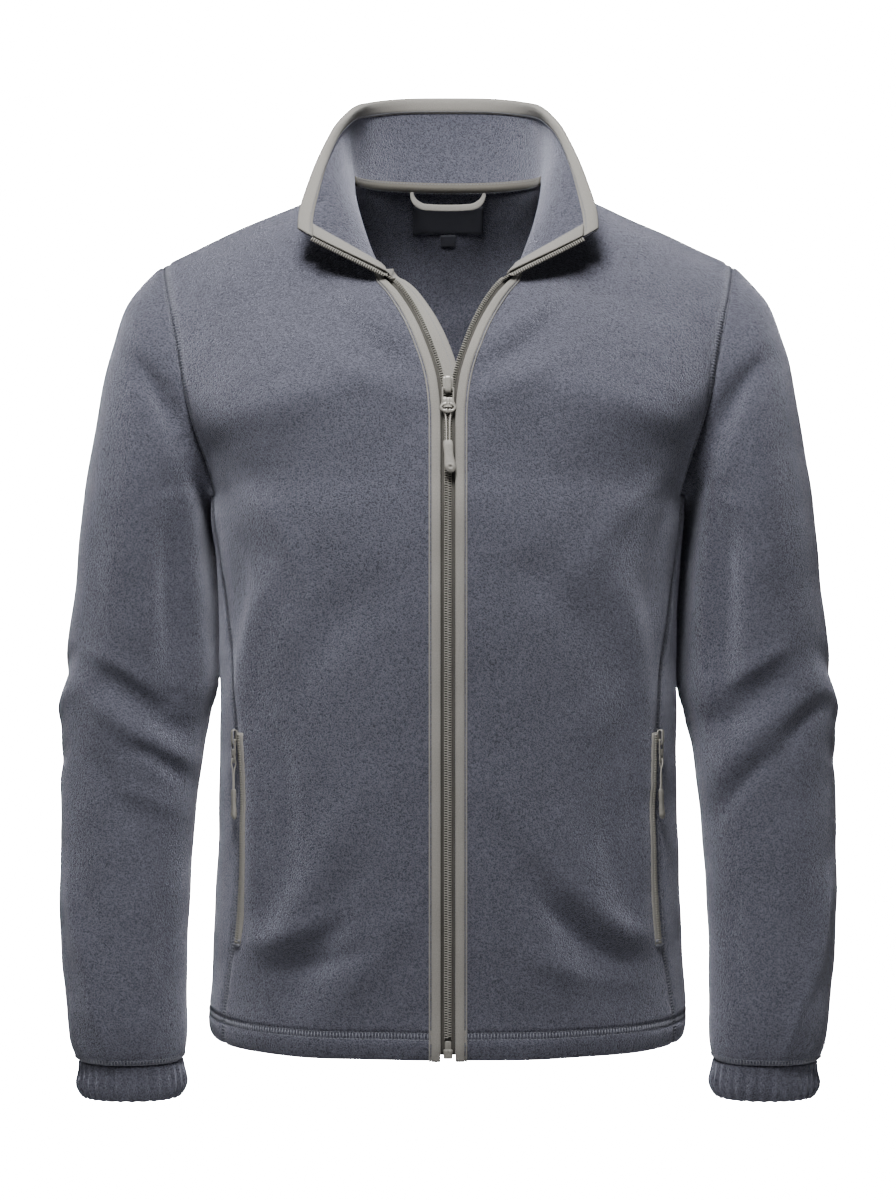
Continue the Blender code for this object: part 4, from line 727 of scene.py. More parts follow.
def stitchShape(long, wide, high):
    # a bar whose ends dip into the cloth, in three rings of four points
    x = np.array([-0.5, 0.0, 0.5])[:, None] * long
    end = np.array([0.55, 1.0, 0.55])[:, None]
    y = np.array([-0.5, -0.35, 0.35, 0.5]) * wide * end
    z = np.array([-0.3, 1.0, 1.0, -0.3]) * high * end - (1 - end) * high * 0.9
    return np.stack([x + 0 * y, y, z], axis=2).reshape(-1, 3), loftQuads(3, 4)


def sew(points, normals, kind, gap=1.0):
    # stitches along a line, turned out of it to one side and the other in turn
    pitch, long, wide, high, slant = stitches[kind]
    p, n = resample(points, normals, pitch)
    x = unit(np.gradient(p, axis=0))
    z = squareTo(n, x)
    y = np.cross(z, x)
    if slant:
        turn = slant * np.where(np.arange(len(p)) % 2, 1.0, -1.0)[:, None]
        x, y = x * np.cos(turn) + y * np.sin(turn), y * np.cos(turn) - x * np.sin(turn)
    made, quads = copies(*stitchShape(long * gap, wide, high), p[1:-1], x[1:-1], y[1:-1], z[1:-1])
    threadQuads.append(quads + sum(len(q) for q in threadPoints))
    threadPoints.append(made)


def coverStitch(grid, normals, rows, border):
    # two needle rows with the looper's ladder between them, along one border of a panel
    near, far = rows
    if border in ("low", "high"):
        grid, normals = grid.swapaxes(0, 1), normals.swapaxes(0, 1)
    if border in ("high", "last"):
        grid, normals = grid[:, ::-1], normals[:, ::-1]
    lines, ways = linesAt(grid, normals, [near, (near + far) / 2, far], reach=24)
    ways = unit(ways)
    sew(lines[:, 0], ways[:, 0], "needle")
    sew(lines[:, 2], ways[:, 2], "needle")
    sew(lines[:, 1], ways[:, 1], "ladder", far - near)


# Finishes

def nodeGroup(name, inputs):
    # a group that takes a place, a colour and its own values, and gives a colour and a height
    group = bpy.data.node_groups.new(name, "ShaderNodeTree")
    group.interface.new_socket(name="Vector", in_out="INPUT", socket_type="NodeSocketVector")
    group.interface.new_socket(name="Colour", in_out="INPUT", socket_type="NodeSocketColor")
    for label, value in inputs.items():
        socket = group.interface.new_socket(name=label, in_out="INPUT", socket_type="NodeSocketFloat")
        socket.default_value = value
    group.interface.new_socket(name="Colour", in_out="OUTPUT", socket_type="NodeSocketColor")
    group.interface.new_socket(name="Height", in_out="OUTPUT", socket_type="NodeSocketFloat")
    return group, group.nodes.new("NodeGroupInput").outputs, group.nodes.new("NodeGroupOutput").inputs


def addNode(tree, kind, links=None, **settings):
    # a node with its settings, and links or values for its inputs by name or number
    node = tree.nodes.new(kind)
    for key, value in settings.items():
        setattr(node, key, value)
    for key, value in (links or {}).items():
        if isinstance(value, bpy.types.NodeSocket):
            tree.links.new(value, node.inputs[key])
        else:
            node.inputs[key].default_value = value
    return node


def arith(tree, operation, a, b=0.0, c=0.0):
    return addNode(tree, "ShaderNodeMath", {0: a, 1: b, 2: c}, operation=operation).outputs[0]


def madd(tree, a, b, c):
    return arith(tree, "MULTIPLY_ADD", a, b, c)


def noise(tree, vector, scale, detail, roughness=0.5, distortion=0.0):
    return addNode(tree, "ShaderNodeTexNoise", {"Vector": vector, "Scale": scale, "Detail": detail,
                                                "Roughness": roughness, "Distortion": distortion}).outputs[0]


def shaded(tree, colour, factor):
    # a colour multiplied by a factor that changes over the surface
    grey = addNode(tree, "ShaderNodeCombineColor", {0: factor, 1: factor, 2: factor})
    mix = addNode(tree, "ShaderNodeMix", {0: 1.0, 6: colour, 7: grey.outputs[0]}, data_type="RGBA",
                  blend_type="MULTIPLY")
    return mix.outputs[2]


def makeNap():
    # Short curled pile: a warped noise, stretched between dark gaps and bright curls, on larger tufts
    # and slow changes of tone.
    group, given, out = nodeGroup("nap", {"Curl Scale": 500.0, "Contrast": 0.5, "Depth": 1.0})
    place, scale, contrast = given["Vector"], given["Curl Scale"], given["Contrast"]
    curl = noise(group, place, scale, 1.2, 0.45, 0.9)
    crest = addNode(group, "ShaderNodeMapRange", {0: curl, 1: 0.32, 2: 0.68},
                    interpolation_type="SMOOTHSTEP").outputs[0]
    tuft = noise(group, place, arith(group, "MULTIPLY", scale, 0.28), 1.5, distortion=0.4)
    slow = noise(group, place, 19.0, 2.0)
    tone = madd(group, crest, contrast, madd(group, contrast, -0.5, 1.0))
    tone = madd(group, arith(group, "SUBTRACT", tuft, 0.5), 0.35, tone)
    tone = madd(group, arith(group, "SUBTRACT", slow, 0.5), 0.25, tone)
    group.links.new(shaded(group, given["Colour"], tone), out["Colour"])
    height = arith(group, "MULTIPLY", madd(group, tuft, 0.3, crest), given["Depth"])
    group.links.new(height, out["Height"])
    return group


def makeWeave():
    # A narrow woven tape: fine ribs across it and a finer twill line, read in millimetres of the UV
    group, given, out = nodeGroup("weave", {"Rib": 0.75, "Twill": 0.5})
    part = addNode(group, "ShaderNodeSeparateXYZ", {0: given["Vector"]})
    u, v = part.outputs[0], part.outputs[1]

    def wave(along, width):
        turn = arith(group, "MULTIPLY", along, 2 * math.pi)
        return arith(group, "SINE", arith(group, "DIVIDE", turn, width))

    rib = wave(v, given["Rib"])
    twill = wave(arith(group, "ADD", u, v), given["Twill"])
    yarn = noise(group, given["Vector"], 1.1, 3.0)
    tone = madd(group, yarn, 0.55, madd(group, rib, 0.07, madd(group, twill, 0.05, 0.72)))
    group.links.new(shaded(group, given["Colour"], tone), out["Colour"])
    group.links.new(madd(group, rib, 0.5, arith(group, "MULTIPLY", twill, 0.35)), out["Height"])
    return group


napValues, weaveValues = ("Curl Scale", "Contrast", "Depth"), ("Rib", "Twill")
taupe = (0.262, 0.250, 0.229)
# the record's slot, base colour, roughness, pattern with its values in the order of the lines above,
# and the bump's strength and its depth in metres
finishes = {name: dict(zip("slot colour roughness pattern values bump".split(), row)) for name, row in {
    "fleece": ("fleece", (0.092, 0.0935, 0.12), 0.95, "nap", (900, 0.75, 1), (1, 0.00042)),
    "taupe_tape": ("taupe_tape", taupe, 0.8, "weave", (0.9, 0.55), (0.5, 0.00025)),
    # the neck tape: the same taupe tape, its colour darkened as painted shade for the shadow inside the back
    # neck
    "neck_twill_painted_shade": ("taupe_tape", (0.135, 0.126, 0.108), 0.8, "weave", (0.9, 0.6), (0.5, 0.00025)),
    # the main zip's tape: the same taupe tape, its colour darkened as painted shade for the recess between
    # the placket strip and the coil
    "coil_tape_weave_painted_shade": ("taupe_tape", (0.07, 0.066, 0.058), 0.8, "weave", (0.7, 0.45), (0.4, 0.0002)),
    "zip_tape_weave": ("zip_coil", taupe, 0.8, "weave", (0.7, 0.45), (0.4, 0.0002)),
    "coil_plastic": ("zip_coil", (0.33, 0.315, 0.28), 0.42, "nap", (900, 0.15, 0.3), (0.15, 0.0002)),
    "painted_metal": ("zip_metal", (0.29, 0.278, 0.25), 0.34, "nap", (1400, 0.12, 0.3), (0.08, 0.0001)),
    "cord_braid": ("pull_cord", (0.42, 0.4, 0.36), 0.7, "weave", (0.8, 0.7), (0.7, 0.0003)),
    "grip_rubber": ("grip_rubber", (0.24, 0.228, 0.205), 0.6, "nap", (1100, 0.12, 0.5), (0.2, 0.0002)),
    "label_cloth": ("label_cloth", (0.045, 0.047, 0.06), 0.75, "weave", (0.5, 0.4), (0.35, 0.00015)),
    "fleece_thread": ("fleece", (0.2, 0.205, 0.24), 0.6, "nap", (1500, 0.3, 0.4), (0.3, 0.0002)),
}.items()}
# what else some shaders have
tapeShader = {"Specular IOR Level": 0.25, "Sheen Weight": 0.15}
shaders = {
    "fleece": {"Specular IOR Level": 0.15, "Sheen Weight": 0.8, "Sheen Roughness": 0.35,
               "Sheen Tint": (0.79, 0.8, 0.95, 1)},
    "painted_metal": {"Metallic": 0.2}, "taupe_tape": tapeShader, "neck_twill_painted_shade": tapeShader,
    "coil_tape_weave_painted_shade": tapeShader, "zip_tape_weave": tapeShader,
}


def makeFinish(name, nap, weave):
    # a Principled shader whose colour and bump come from a group: nap on the object's own places,
    # weave on the piece's UV map
    look = finishes[name]
    napped = look["pattern"] == "nap"
    colour = (*look["colour"], 1)
    mat = bpy.data.materials.new(name)
    mat.use_nodes = True
    mat.diffuse_color = colour
    tree = mat.node_tree
    shader = tree.nodes["Principled BSDF"]
    for key, value in {"Base Color": colour, "Roughness": look["roughness"], **shaders.get(name, {})}.items():
        shader.inputs[key].default_value = value
    if napped:
        place = addNode(tree, "ShaderNodeTexCoord").outputs["Object"]
    else:
        place = addNode(tree, "ShaderNodeUVMap", uv_map="cloth").outputs[0]
    values = dict(zip(napValues if napped else weaveValues, look["values"]))
    node = addNode(tree, "ShaderNodeGroup", node_tree=nap if napped else weave)
    for key, value in {"Colour": colour, **values}.items():
        node.inputs[key].default_value = value
    tree.links.new(place, node.inputs["Vector"])
    tree.links.new(node.outputs["Colour"], shader.inputs["Base Color"])
    strength, depth = look["bump"]
    bump = addNode(tree, "ShaderNodeBump", {"Strength": strength, "Distance": depth,
                                            "Height": node.outputs["Height"]})
    tree.links.new(bump.outputs[0], shader.inputs["Normal"])
    return mat


nap, weave = makeNap(), makeWeave()
materials = {name: makeFinish(name, nap, weave) for name in finishes}
print("finishes made")


# The fleece panels

front, side, back = bodyPanels()
halfCollar = collarGrid(front, back)
sleeve = sleeveGrid(front, side, back)
outerColumns = back.shape[1] - neckColumns  # of half the back, along the shoulder
# Columns run to the wearer's left across the front and on round the body, so that every grid's
# columns, rows and outside turn the same way.
grids = {
    "front_left": front, "front_right": mirrored(front)[:, ::-1],
    "side_left": side, "side_right": mirrored(side)[:, ::-1],
    "back": np.concatenate([back, mirrored(back)[:, -2::-1]], axis=1),
    "collar": np.concatenate([halfCollar, mirrored(halfCollar)[:, -2::-1]], axis=1),
    "sleeve_left": sleeve[:, ::-1], "sleeve_right": mirrored(sleeve),
}
closed = {name: name.startswith("sleeve") for name in grids}


def neckSeam():
    left, right = grids["front_left"][cornerRow:, 0], grids["front_right"][cornerRow:, -1]
    return np.concatenate([left, grids["back"][-1, outerColumns:-outerColumns], right[::-1]])


def foldCloth():
    normals = sharedNormals(grids, closed)
    for name in grids:
        if name != "collar":
            grids[name] = grids[name] + normals[name] * foldHeight(grids[name], normals[name])[..., None]
    # the collar follows its seam, less and less up its height
    moved = neckSeam() - grids["collar"][0]
    grids["collar"] = grids["collar"] + moved * (1 - collarRows[:, None, None]) ** 4
    return sharedNormals(grids, closed)


def wallThickness(name):
    # the wall's thickness: doubled at the turned hem, but not behind the zip's tapes
    shape = grids[name].shape[:2]
    if name == "collar":
        return np.full(shape, cloth["collarThick"])
    thick = np.full(shape, cloth["thick"])
    if not name.startswith("sleeve"):
        away = seamDistances(grids[name])
        turned = np.clip((cloth["hemTurn"] - away["low"]) / cloth["hemEdge"], 0, 1)
        if name.startswith("front"):
            opening = away["first" if name == "front_left" else "last"]
            turned = turned * np.clip((opening - cloth["tapeClear"]) / 2, 0, 1)
        thick = thick + (cloth["hemThick"] - cloth["thick"]) * turned
    return thick


normals = foldCloth()
walls = {}
for name in grids:
    outer = drawBack(grids[name], normals[name], closed[name])
    walls[name] = (outer, outer - normals[name] * wallThickness(name)[..., None], normals[name])
print("cloth folded")

# the two needle rows' distances from each kind of border, and where they press in along the back
hemRows, yokeRows, sideRows, wristRows = [17.0, 22.4], [1.2, 7.4], [1.0, 6.0], [1.4, 5.6]
backPress = [1.2, 7.0]
seams = {
    "front_left": {"low": hemRows, "last": yokeRows}, "front_right": {"low": hemRows, "first": yokeRows},
    "side_left": {"low": hemRows, "first": sideRows, "last": []},
    "side_right": {"low": hemRows, "first": [], "last": sideRows},
    "back": {"low": hemRows, "first": backPress, "last": backPress, "high": []},
    "collar": {"low": []},
    "sleeve_left": {"low": [], "high": []}, "sleeve_right": {"low": [], "high": []},
}


def shownWall(name):
    # the wall with its edges rolled in and its stitch rows pressed down, on both its faces
    outer, inner, n = walls[name]
    relief = seamRelief(outer, seams[name], armpitRow if name.startswith("front") else 0)
    top = outer + n * relief[..., None]
    away = seamDistances(outer)
    tuck = sum(cloth["rollDepth"] * 0.5 * np.exp(-away[s] / cloth["rollWidth"]) for s in seams[name])
    return top, inner + n * tuck[..., None]


shown = {}
for name in grids:
    shown[name] = shownWall(name)
    addCloth(name, *shown[name], closed[name])
print("panels made")


# The cuffs: rings with uneven gathers

# the gathers' pitch and height wander round the cuff: each wave's height, its count and its shift
cuff = {"columns": 300, "gathers": 30, "insideShare": 0.45, "edgeReach": 1.3, "gatherHigh": 0.8,
        "pitchWaves": [(0.9, 3, 0.4), (0.6, 7, 1.1)], "heightWaves": [(0.3, 5, 0.8), (0.22, 11, 2.0)]}


def cuffWalls():
    turn = np.linspace(0, 2 * math.pi, cuff["columns"], endpoint=False)[None, :]
    at = column(cuffRings, "at")
    fine = spaced(at[-1], 8, np.array([0, 0.8, 1.7, 2.8, 4.2]), np.array([0, 0.8, 1.7, 2.8]))
    phase, height = (sum((high * np.sin(count * turn + shift) for high, count, shift in cuff[key]), start)
                     for key, start in (("pitchWaves", cuff["gathers"] * turn),
                                        ("heightWaves", cuff["gatherHigh"])))
    rings = smoothCurve(at, ringGrid(cuffRings, turn), fine)
    swell = np.interp(fine, at, column(cuffRings, "swell"))[:, None]
    gather = np.cos(phase) * height * swell
    n = sharedNormals({"c": rings[:, ::-1]}, {"c": True})["c"][:, ::-1]
    edge = (np.exp(-fine / cuff["edgeReach"]) + np.exp(-(fine[-1] - fine) / cuff["edgeReach"]))[:, None]
    outer = rings + n * (gather - 0.8 * edge)[..., None]
    inner = rings + n * (gather * cuff["insideShare"] - cloth["cuffThick"] + 0.5 * edge)[..., None]
    return outer, inner


cuffOuter, cuffInner = cuffWalls()
for name, turned in (("cuff_left", (1, 1, 1)), ("cuff_right", (-1, 1, 1))):
    addCloth(name, cuffOuter * turned, cuffInner * turned, True, "gathered")
print("cuffs made")


# The trims down the front edges and round the collar

trims = {"tapeThick": 0.8, "tapeOff": 0.8, "toothPitch": 1.9, "spacing": 2.0, "tapeFoot": -674.0,
         "coilFoot": -661.6, "guardOff": 2.2, "guardThick": 0.9, "bindingThick": 1.25,
         "insideAt": [0.0, 1.5, 5.0, 9.0],  # the tape's distances from the edge, inside the cloth
         "cornerReach": 5.0,  # bridged to both sides of the collar's corner
         "smoothings": 6,  # of the way out of the edge, along it
         "hangFrom": 9.0, "hangOver": 24.0, "hangDrop": 2.0}  # where the free tape turns down at the collar
# the placket strip: distances from the edge and heights over the cloth, with a groove along it
placket = {"across": [0.0, 0.5, 1.3, 2.9, 4.8, 6.2, 6.7, 7.0, 7.7, 8.0, 8.6, 9.0],
           "heights": [0.45, 1.0, 1.25, 1.35, 1.35, 1.25, 0.9, -0.1, -0.1, 1.1, 1.15, 0.3],
           "low": -0.25, "sewnAt": 9, "underBinding": 5.0}
# a tooth across the tape's border: places along it, its half widths at the pitch given here, its
# heights, and its section's six corners as shares of both; the rail that joins the teeth
tooth = {"along": [-2.9, -2.3, -0.9, 0.1, 0.45], "halfWide": [0.2, 0.29, 0.27, 0.31, 0.2], "pitch": 1.35,
         "high": [0.8, 1.35, 1.6, 1.5, 0.9],
         "section": [(-0.7, 0.1), (-1.0, 0.45), (-0.6, 1.0), (0.6, 1.0), (1.0, 0.45), (0.7, 0.1)],
         "rail": [(-2.9, 0.0), (-2.9, 0.12), (-2.7, 0.2), (-2.5, 0.12), (-2.5, 0.0), (-2.7, -0.05)]}
# how far the guard's free border stands from the wearer's right edge, at places up the panel
guardReach = table("at reach", [
    (0, (17.5, 2.0, 0.0)), (456, (17.5, 2.0, 0.0)), (482, (17.0, 3.0, 3.0)), (508, (16.0, 3.5, 5.0)),
    (530, (12.5, 4.5, 7.0)), (550, (8.3, 4.6, 7.6)), (566, (2.0, 3.4, 5.2)),
])
# the guard: how far past the collar's corner it goes, its places across as shares of its width, where
# it ends on the facing, and how far its face swells across; then the facing itself, its rises over
# guardOff, and half of the neck tape's heights, the same to both sides of the seam
guard = {"past": 15.0, "shares": (0, 0.25, 0.5, 0.75, 0.9, 1), "overFacing": 10.2,
         "swell": np.array([0, 0, 0, 0.15, 0.2, 0.2, 0.12, -0.15])[None, :, None]}
facingBand = {"across": [0.0, 1.0, 4.0, 7.0, 9.5, 10.3], "rises": [0.1, 0.25, 0.35, 0.35, 0.25, -0.2]}
neckTape = {"across": [0.6, 1.6, 3.4, 5.0], "heights": [0.35, 1.0, 1.25, 1.35], "sewnAt": (1, 6)}
bindingRow = int(np.argmin(np.abs(collarRows - bindingFrom)))


def frontEdge(side, face, distances, wanted=None):
    # Lines at distances from the front edge, from the hem over the collar's corner up to the
    # binding, at even places along them; the rows next to the corner are left out and bridged.
    flip = slice(None, None, -1 if side == "right" else 1)
    body, neck = walls["front_" + side], walls["collar"]
    low, high = slice(cornerRow + 1), slice(1, bindingRow + 1)
    points, ways = (np.concatenate(pair) for pair in zip(
        linesAt(body[face][low, flip], body[2][low, flip], distances, reach=20),
        linesAt(neck[face][high, flip], neck[2][high, flip], distances, reach=10)))
    run = runOf(points[:, 0])
    keep = np.abs(run - run[cornerRow]) > trims["cornerReach"]
    keep[[0, -1]] = True
    if wanted is None:
        wanted = np.linspace(0, run[-1] - 0.3, int(run[-1] / trims["spacing"]))
    points, ways = smoothCurve(run[keep], points[keep], wanted), smoothCurve(run[keep], ways[keep], wanted)
    at = np.interp(wanted, run[:cornerRow + 1], panelRows[:cornerRow + 1])
    return points, unit(ways), at, np.clip(wanted - run[cornerRow], 0, None), wanted


def band(one, other):
    # closed sections from the points of one face and the points of the face behind it
    return np.concatenate([one, other[:, ::-1]], axis=1)


def stripSections(points, ways, heights, low):
    # a domed strip: its underside at one lift, its face at a height for each point across
    return band(points + ways * low, points + ways * np.asarray(heights)[None, :, None])


def edgeFrame(points, ways):
    # out of the cloth's edge, and square to it and to the edge
    edge, second = points[:, 0], points[:, 1]
    along = unit(np.gradient(edge, axis=0))
    away = unit(edge - second)
    for _ in range(trims["smoothings"]):
        away[1:-1] = unit(away[:-2] + 2 * away[1:-1] + away[2:])
    away = squareTo(away, along)
    up = unit(np.cross(along, away))
    return along, away, up * np.sign((up[0] * ways[0, 0]).sum())


def addTeeth(name, border, along, away, up, shift, replaces=()):
    # coil teeth: each a lozenge across the tape's border, its head past the zip's middle
    run, pitch = runOf(border), trims["toothPitch"]
    at = np.arange(pitch * (1 + shift), run[-1], pitch)
    o, t, a, u = (readAlong(at, run, v) for v in (border, along, away, up))
    x, wide, high = (np.array(tooth[key])[:, None] for key in ("along", "halfWide", "high"))
    wideShares, highShares = np.array(tooth["section"]).T
    y, z = wideShares * (wide * pitch / tooth["pitch"]), highShares * high
    shape = np.stack([x + 0 * y, y, z], axis=2).reshape(-1, 3)
    points, quads = copies(shape, loftQuads(5, 6), o, unit(a), unit(t), unit(u))
    # the rail that joins them: places (away, up) round its section
    sections = np.stack([border + away * x + up * y for x, y in tooth["rail"]], axis=1)
    joinedQuads = np.concatenate([quads, loftQuads(len(border), 6) + len(points)])
    addPiece(name, np.concatenate([points, sections.reshape(-1, 3)]), joinedQuads, "coil_plastic",
             replaces=replaces)


def addFrontTrims(side):
    # placket strip outside; behind the edge the zip's tape, with the coil along its border
    points, ways, *_, wanted = frontEdge(side, 0, placket["across"])
    rows = wanted < wanted[-1] - placket["underBinding"]
    points, ways = points[rows], ways[rows]
    sections = stripSections(points, ways, placket["heights"], placket["low"])
    addLoft("placket_strip_" + side, sections, "taupe_tape", replaces=["placket_" + side])
    sewn, way = points[:, placket["sewnAt"]], ways[:, placket["sewnAt"]]
    sew(sewn + way, way, "placket")
    points, ways, at, beyond, wanted = frontEdge(side, 1, trims["insideAt"])
    along, away, up = edgeFrame(points, ways)
    # along the collar the free tape hangs down in front of the outer strip
    past = wanted[:, None] - wanted[int(np.argmax(beyond > 0))]
    hang = ease(np.clip((past + trims["hangFrom"]) / trims["hangOver"], 0, 1))
    away = unit(away * (1 - hang) + squareTo(np.array([[0, -0.35, -1.0]]), along) * hang)
    up = unit(np.cross(along, away))
    up = up * np.where(up[:, 1:2] > 0, -1.0, 1.0)
    edge = points[:, 0] + up * hang * 0.9
    half = cloth["halfOpening"] - hang * trims["hangDrop"]
    border = edge + away * half
    # from inside the cloth, past its edge, to the coil's border
    behind = points - ways * trims["tapeOff"]
    face = np.stack([behind[:, 3], behind[:, 2], behind[:, 1], edge - up * 0.65,
                     edge + away * half * 0.36 - up * 0.35, edge + away * half * 0.65 - up * 0.3,
                     border - up * 0.3], axis=1)
    turned = np.stack([ways[:, 3], ways[:, 2], ways[:, 1], up, up, up, up], axis=1)
    rows = border[:, 2] > trims["tapeFoot"]
    # the tape's colour is darkened with painted shade, standing for the shadow between the strip and the coil
    addLoft("zip_cloth_" + side, band(face, face - turned * trims["tapeThick"])[rows], "coil_tape_weave_painted_shade",
            replaces=["zip_tape_" + side])
    rows = border[:, 2] > trims["coilFoot"]
    addTeeth("zip_teeth_" + side, border[rows], along[rows], away[rows], up[rows],
             0.5 if side == "left" else 0.0, ["zip_coil_" + side])
    return points, ways, at, beyond, wanted, border, up


def addGuard(edgeLines):
    # the guard behind the zip on the wearer's right: past the collar's corner its free border runs
    # into the inner border of the corner's facing
    points, ways, at, beyond, wanted, border, up = edgeLines
    lift = trims["guardOff"]
    rows = (beyond < guard["past"]) & (border[:, 2] > trims["tapeFoot"])
    reach = smoothCurve(column(guardReach, "at"), column(guardReach, "reach"), at[rows])
    facing, facingWay, *_ = frontEdge("right", 1, [0.0, guard["overFacing"]], wanted)
    corner = wanted[int(np.argmax(beyond > 0))]
    joins = ease(np.clip((wanted[rows, None] - corner + 1) / guard["past"], 0, 1))
    points, ways, up = points[rows], ways[rows], up[rows]
    edge = points[:, 0] - up * lift * (1 - joins) - ways[:, 0] * lift * joins
    target = facing[rows, 1] - facingWay[rows, 1] * (lift + 0.5) - edge
    reach = reach * (1 - joins) + target * joins
    behind = points - ways * lift
    out = [edge + reach * s for s in guard["shares"]]
    face = np.stack([behind[:, 3], behind[:, 2]] + out, axis=1)
    turned = np.stack([ways[:, 3], ways[:, 2]] + [up] * len(out), axis=1)
    addLoft("guard_band_right", band(face + turned * guard["swell"], face - turned * trims["guardThick"]),
            "taupe_tape", replaces=["zip_guard_right"])
    sew(face[:, 5] + turned[:, 5] * 0.2, turned[:, 5], "tape")


def addFacing(side, edgeLines):
    # the strip behind the collar's front edge
    beyond, wanted = edgeLines[3:5]
    points, ways, *_ = frontEdge(side, 1, facingBand["across"], wanted[beyond > 0.5])
    lift, extra = trims["guardOff"], trims["guardThick"] * 0.6
    heights = -np.array([lift + rise for rise in facingBand["rises"]])
    addLoft("facing_band_" + side, stripSections(points, ways, heights - extra, -lift + 0.7), "taupe_tape",
            replaces=["collar_facing_" + side])
    sew(points[:, 4] - ways[:, 4] * (lift + 0.25 + extra), -ways[:, 4], "tape")


def addBinding():
    # a folded tape over the collar's top edge: down the outer face, over the top, down the inner
    outer, inner, n = walls["collar"]
    rows = list(range(bindingRow, len(collarRows)))
    up = unit(outer[-1] - outer[bindingRow])
    thick, rise = trims["bindingThick"], 0.9
    middle = (outer[-1] + inner[-1]) / 2
    lift = [0.15 + thick * s for s in (0.35, 0.95, 1.05, 0.95)]
    over = [outer[r] + n[r] * h for r, h in zip(rows, lift)]
    over += [outer[-1] + n[-1] * thick * 0.6 + up * rise, middle + up * (rise + thick * 0.75)]
    over += [inner[-1] - n[-1] * thick * 0.6 + up * rise]
    over += [inner[r] - n[r] * h for r, h in zip(rows[::-1], lift[::-1])]
    under = [inner[r] + n[r] * 0.3 for r in (rows[0], rows[1], rows[-1])]
    under += [outer[r] - n[r] * 0.3 for r in (rows[-1], rows[0])]
    addLoft("binding_tape", np.stack(over + under, axis=1), "taupe_tape", replaces=["collar_binding"])
    sewn, way = rows[1], n[rows[1]]
    for line, out in ((outer[sewn] + way * lift[1], way), (inner[sewn] - way * lift[1], -way)):
        sew((line - up * 2.2)[1:-1], out[1:-1], "binding")


def addNeckTape():
    # the tape over the back neck seam, on the inner faces of collar and back
    first = len(panelRows) - cornerRow
    count = 2 * neckColumns - 1
    onCollar = [grid[:, first:first + count].swapaxes(0, 1) for grid in walls["collar"][1:]]
    onBack = [grid[::-1, outerColumns:outerColumns + count].swapaxes(0, 1) for grid in walls["back"][1:]]
    spots = neckTape["across"]
    points, ways = (np.concatenate(pair, axis=1) for pair in zip(
        linesAt(*onCollar, spots[::-1], reach=8), linesAt(*onBack, spots, reach=8)))
    ways = unit(ways)
    lift = -np.array(neckTape["heights"] + neckTape["heights"][::-1])
    # its colour is the taupe tape darkened with painted shade
    addLoft("neck_seam_tape", stripSections(points, ways, lift, 0.0), "neck_twill_painted_shade", replaces=["neck_tape"])
    for k in neckTape["sewnAt"]:
        sew(points[:, k] - ways[:, k] * 1.1, -ways[:, k], "tape")
    return (points - ways * 1.35)[len(points) // 2, 6]


def sweep(path, across, wide, high, count=10, power=0.7):
    # a rounded section of half sizes wide and high carried along a path; across holds its width's way
    along = unit(np.gradient(path, axis=0))
    side = squareTo(across, along)
    up = np.cross(along, side)
    c, s = (v[None, :, None] for v in superellipse(turns(count), power))
    wide, high = (np.broadcast_to(np.asarray(v, float), (len(path),))[:, None, None] for v in (wide, high))
    return path[:, None] + side[:, None] * c * wide + up[:, None] * s * high


hanger = {"wide": 2.7, "thick": 0.8, "off": 3.6, "rows": 60}
# the strap's middle line from its left end in the tape to the middle, below the tape
hangerLine = table("x z", [(-29.6, 1.0), (-28.9, -3.0), (-26.6, -7.0), (-22.0, -10.2), (-14.0, -11.4),
                           (0.0, -11.8)])


def addHanger(seat):
    # a flat strap that hangs from the tape as a shallow U, narrower where its ends go in
    x, z = column(hangerLine, "x"), column(hangerLine, "z")
    line = np.stack([np.r_[x, -x[-2::-1]], np.full(2 * len(x) - 1, seat[1] - hanger["off"]),
                     seat[2] + np.r_[z, z[-2::-1]]], axis=1)
    run, rows = runOf(line), np.arange(hanger["rows"])
    path = smoothCurve(run, line, np.linspace(0, run[-1], hanger["rows"]))
    across = np.cross(unit(np.gradient(path, axis=0)), np.array([0, 1.0, 0]))
    wide = hanger["wide"] * np.clip(0.45 + np.minimum(rows, rows[::-1]) / 16, 0, 1)
    addLoft("hanger_strap", sweep(path, across, wide, hanger["thick"], 14), "taupe_tape",
            replaces=["hanger_loop"])


# width, top and bottom of the two bare labels inside the back neck, and how far they stand off
labels = {"label": (59.0, -13.0, -33.5), "size_tab": (12.4, -34.2, -43.5)}
labelRows, labelOff, labelCrown = 12, 0.75, 0.45


def addLabels():
    _, inner, n = walls["back"]
    line = inner[armpitRow:, inner.shape[1] // 2]
    for name, (wide, top, bottom) in labels.items():
        heights = np.linspace(top, bottom, labelRows)
        rows = np.interp(heights, line[:, 2], np.arange(armpitRow, len(inner)))
        low = rows.astype(int)
        part = (rows - low)[:, None, None]
        grid, ways = (v[low] * (1 - part) + v[low + 1] * part for v in (inner, n))
        middle, places = grid.shape[1] // 2, np.linspace(0, wide / 2, 14)
        half, halfWay = linesAt(grid[:, middle:], ways[:, middle:], places)
        other, otherWay = linesAt(grid[:, middle::-1], ways[:, middle::-1], places)
        points = np.concatenate([other[:, :0:-1], half], axis=1)
        way = unit(np.concatenate([otherWay[:, :0:-1], halfWay], axis=1))
        edge = np.minimum(np.arange(labelRows), np.arange(labelRows)[::-1])[:, None]
        off = labelOff + labelCrown * np.clip(edge, 0, 1) + 0 * points[..., 0]
        addLoft("bare_" + name, band(points - way * 0.1, points - way * off[..., None]), "label_cloth",
                replaces=[name])


# The pocket zips, along the side seams

pocket = {"top": -429.0, "bottom": -598.0, "coilAt": 6.4, "coilLift": 0.9, "tackLift": 1.15,
          "across": [0.2, 1.2, 3.0, 5.2, 7.4, 9.2, 10.2],
          "heights": [0.35, 1.1, 1.25, 1.25, 1.25, 1.15, 0.35]}


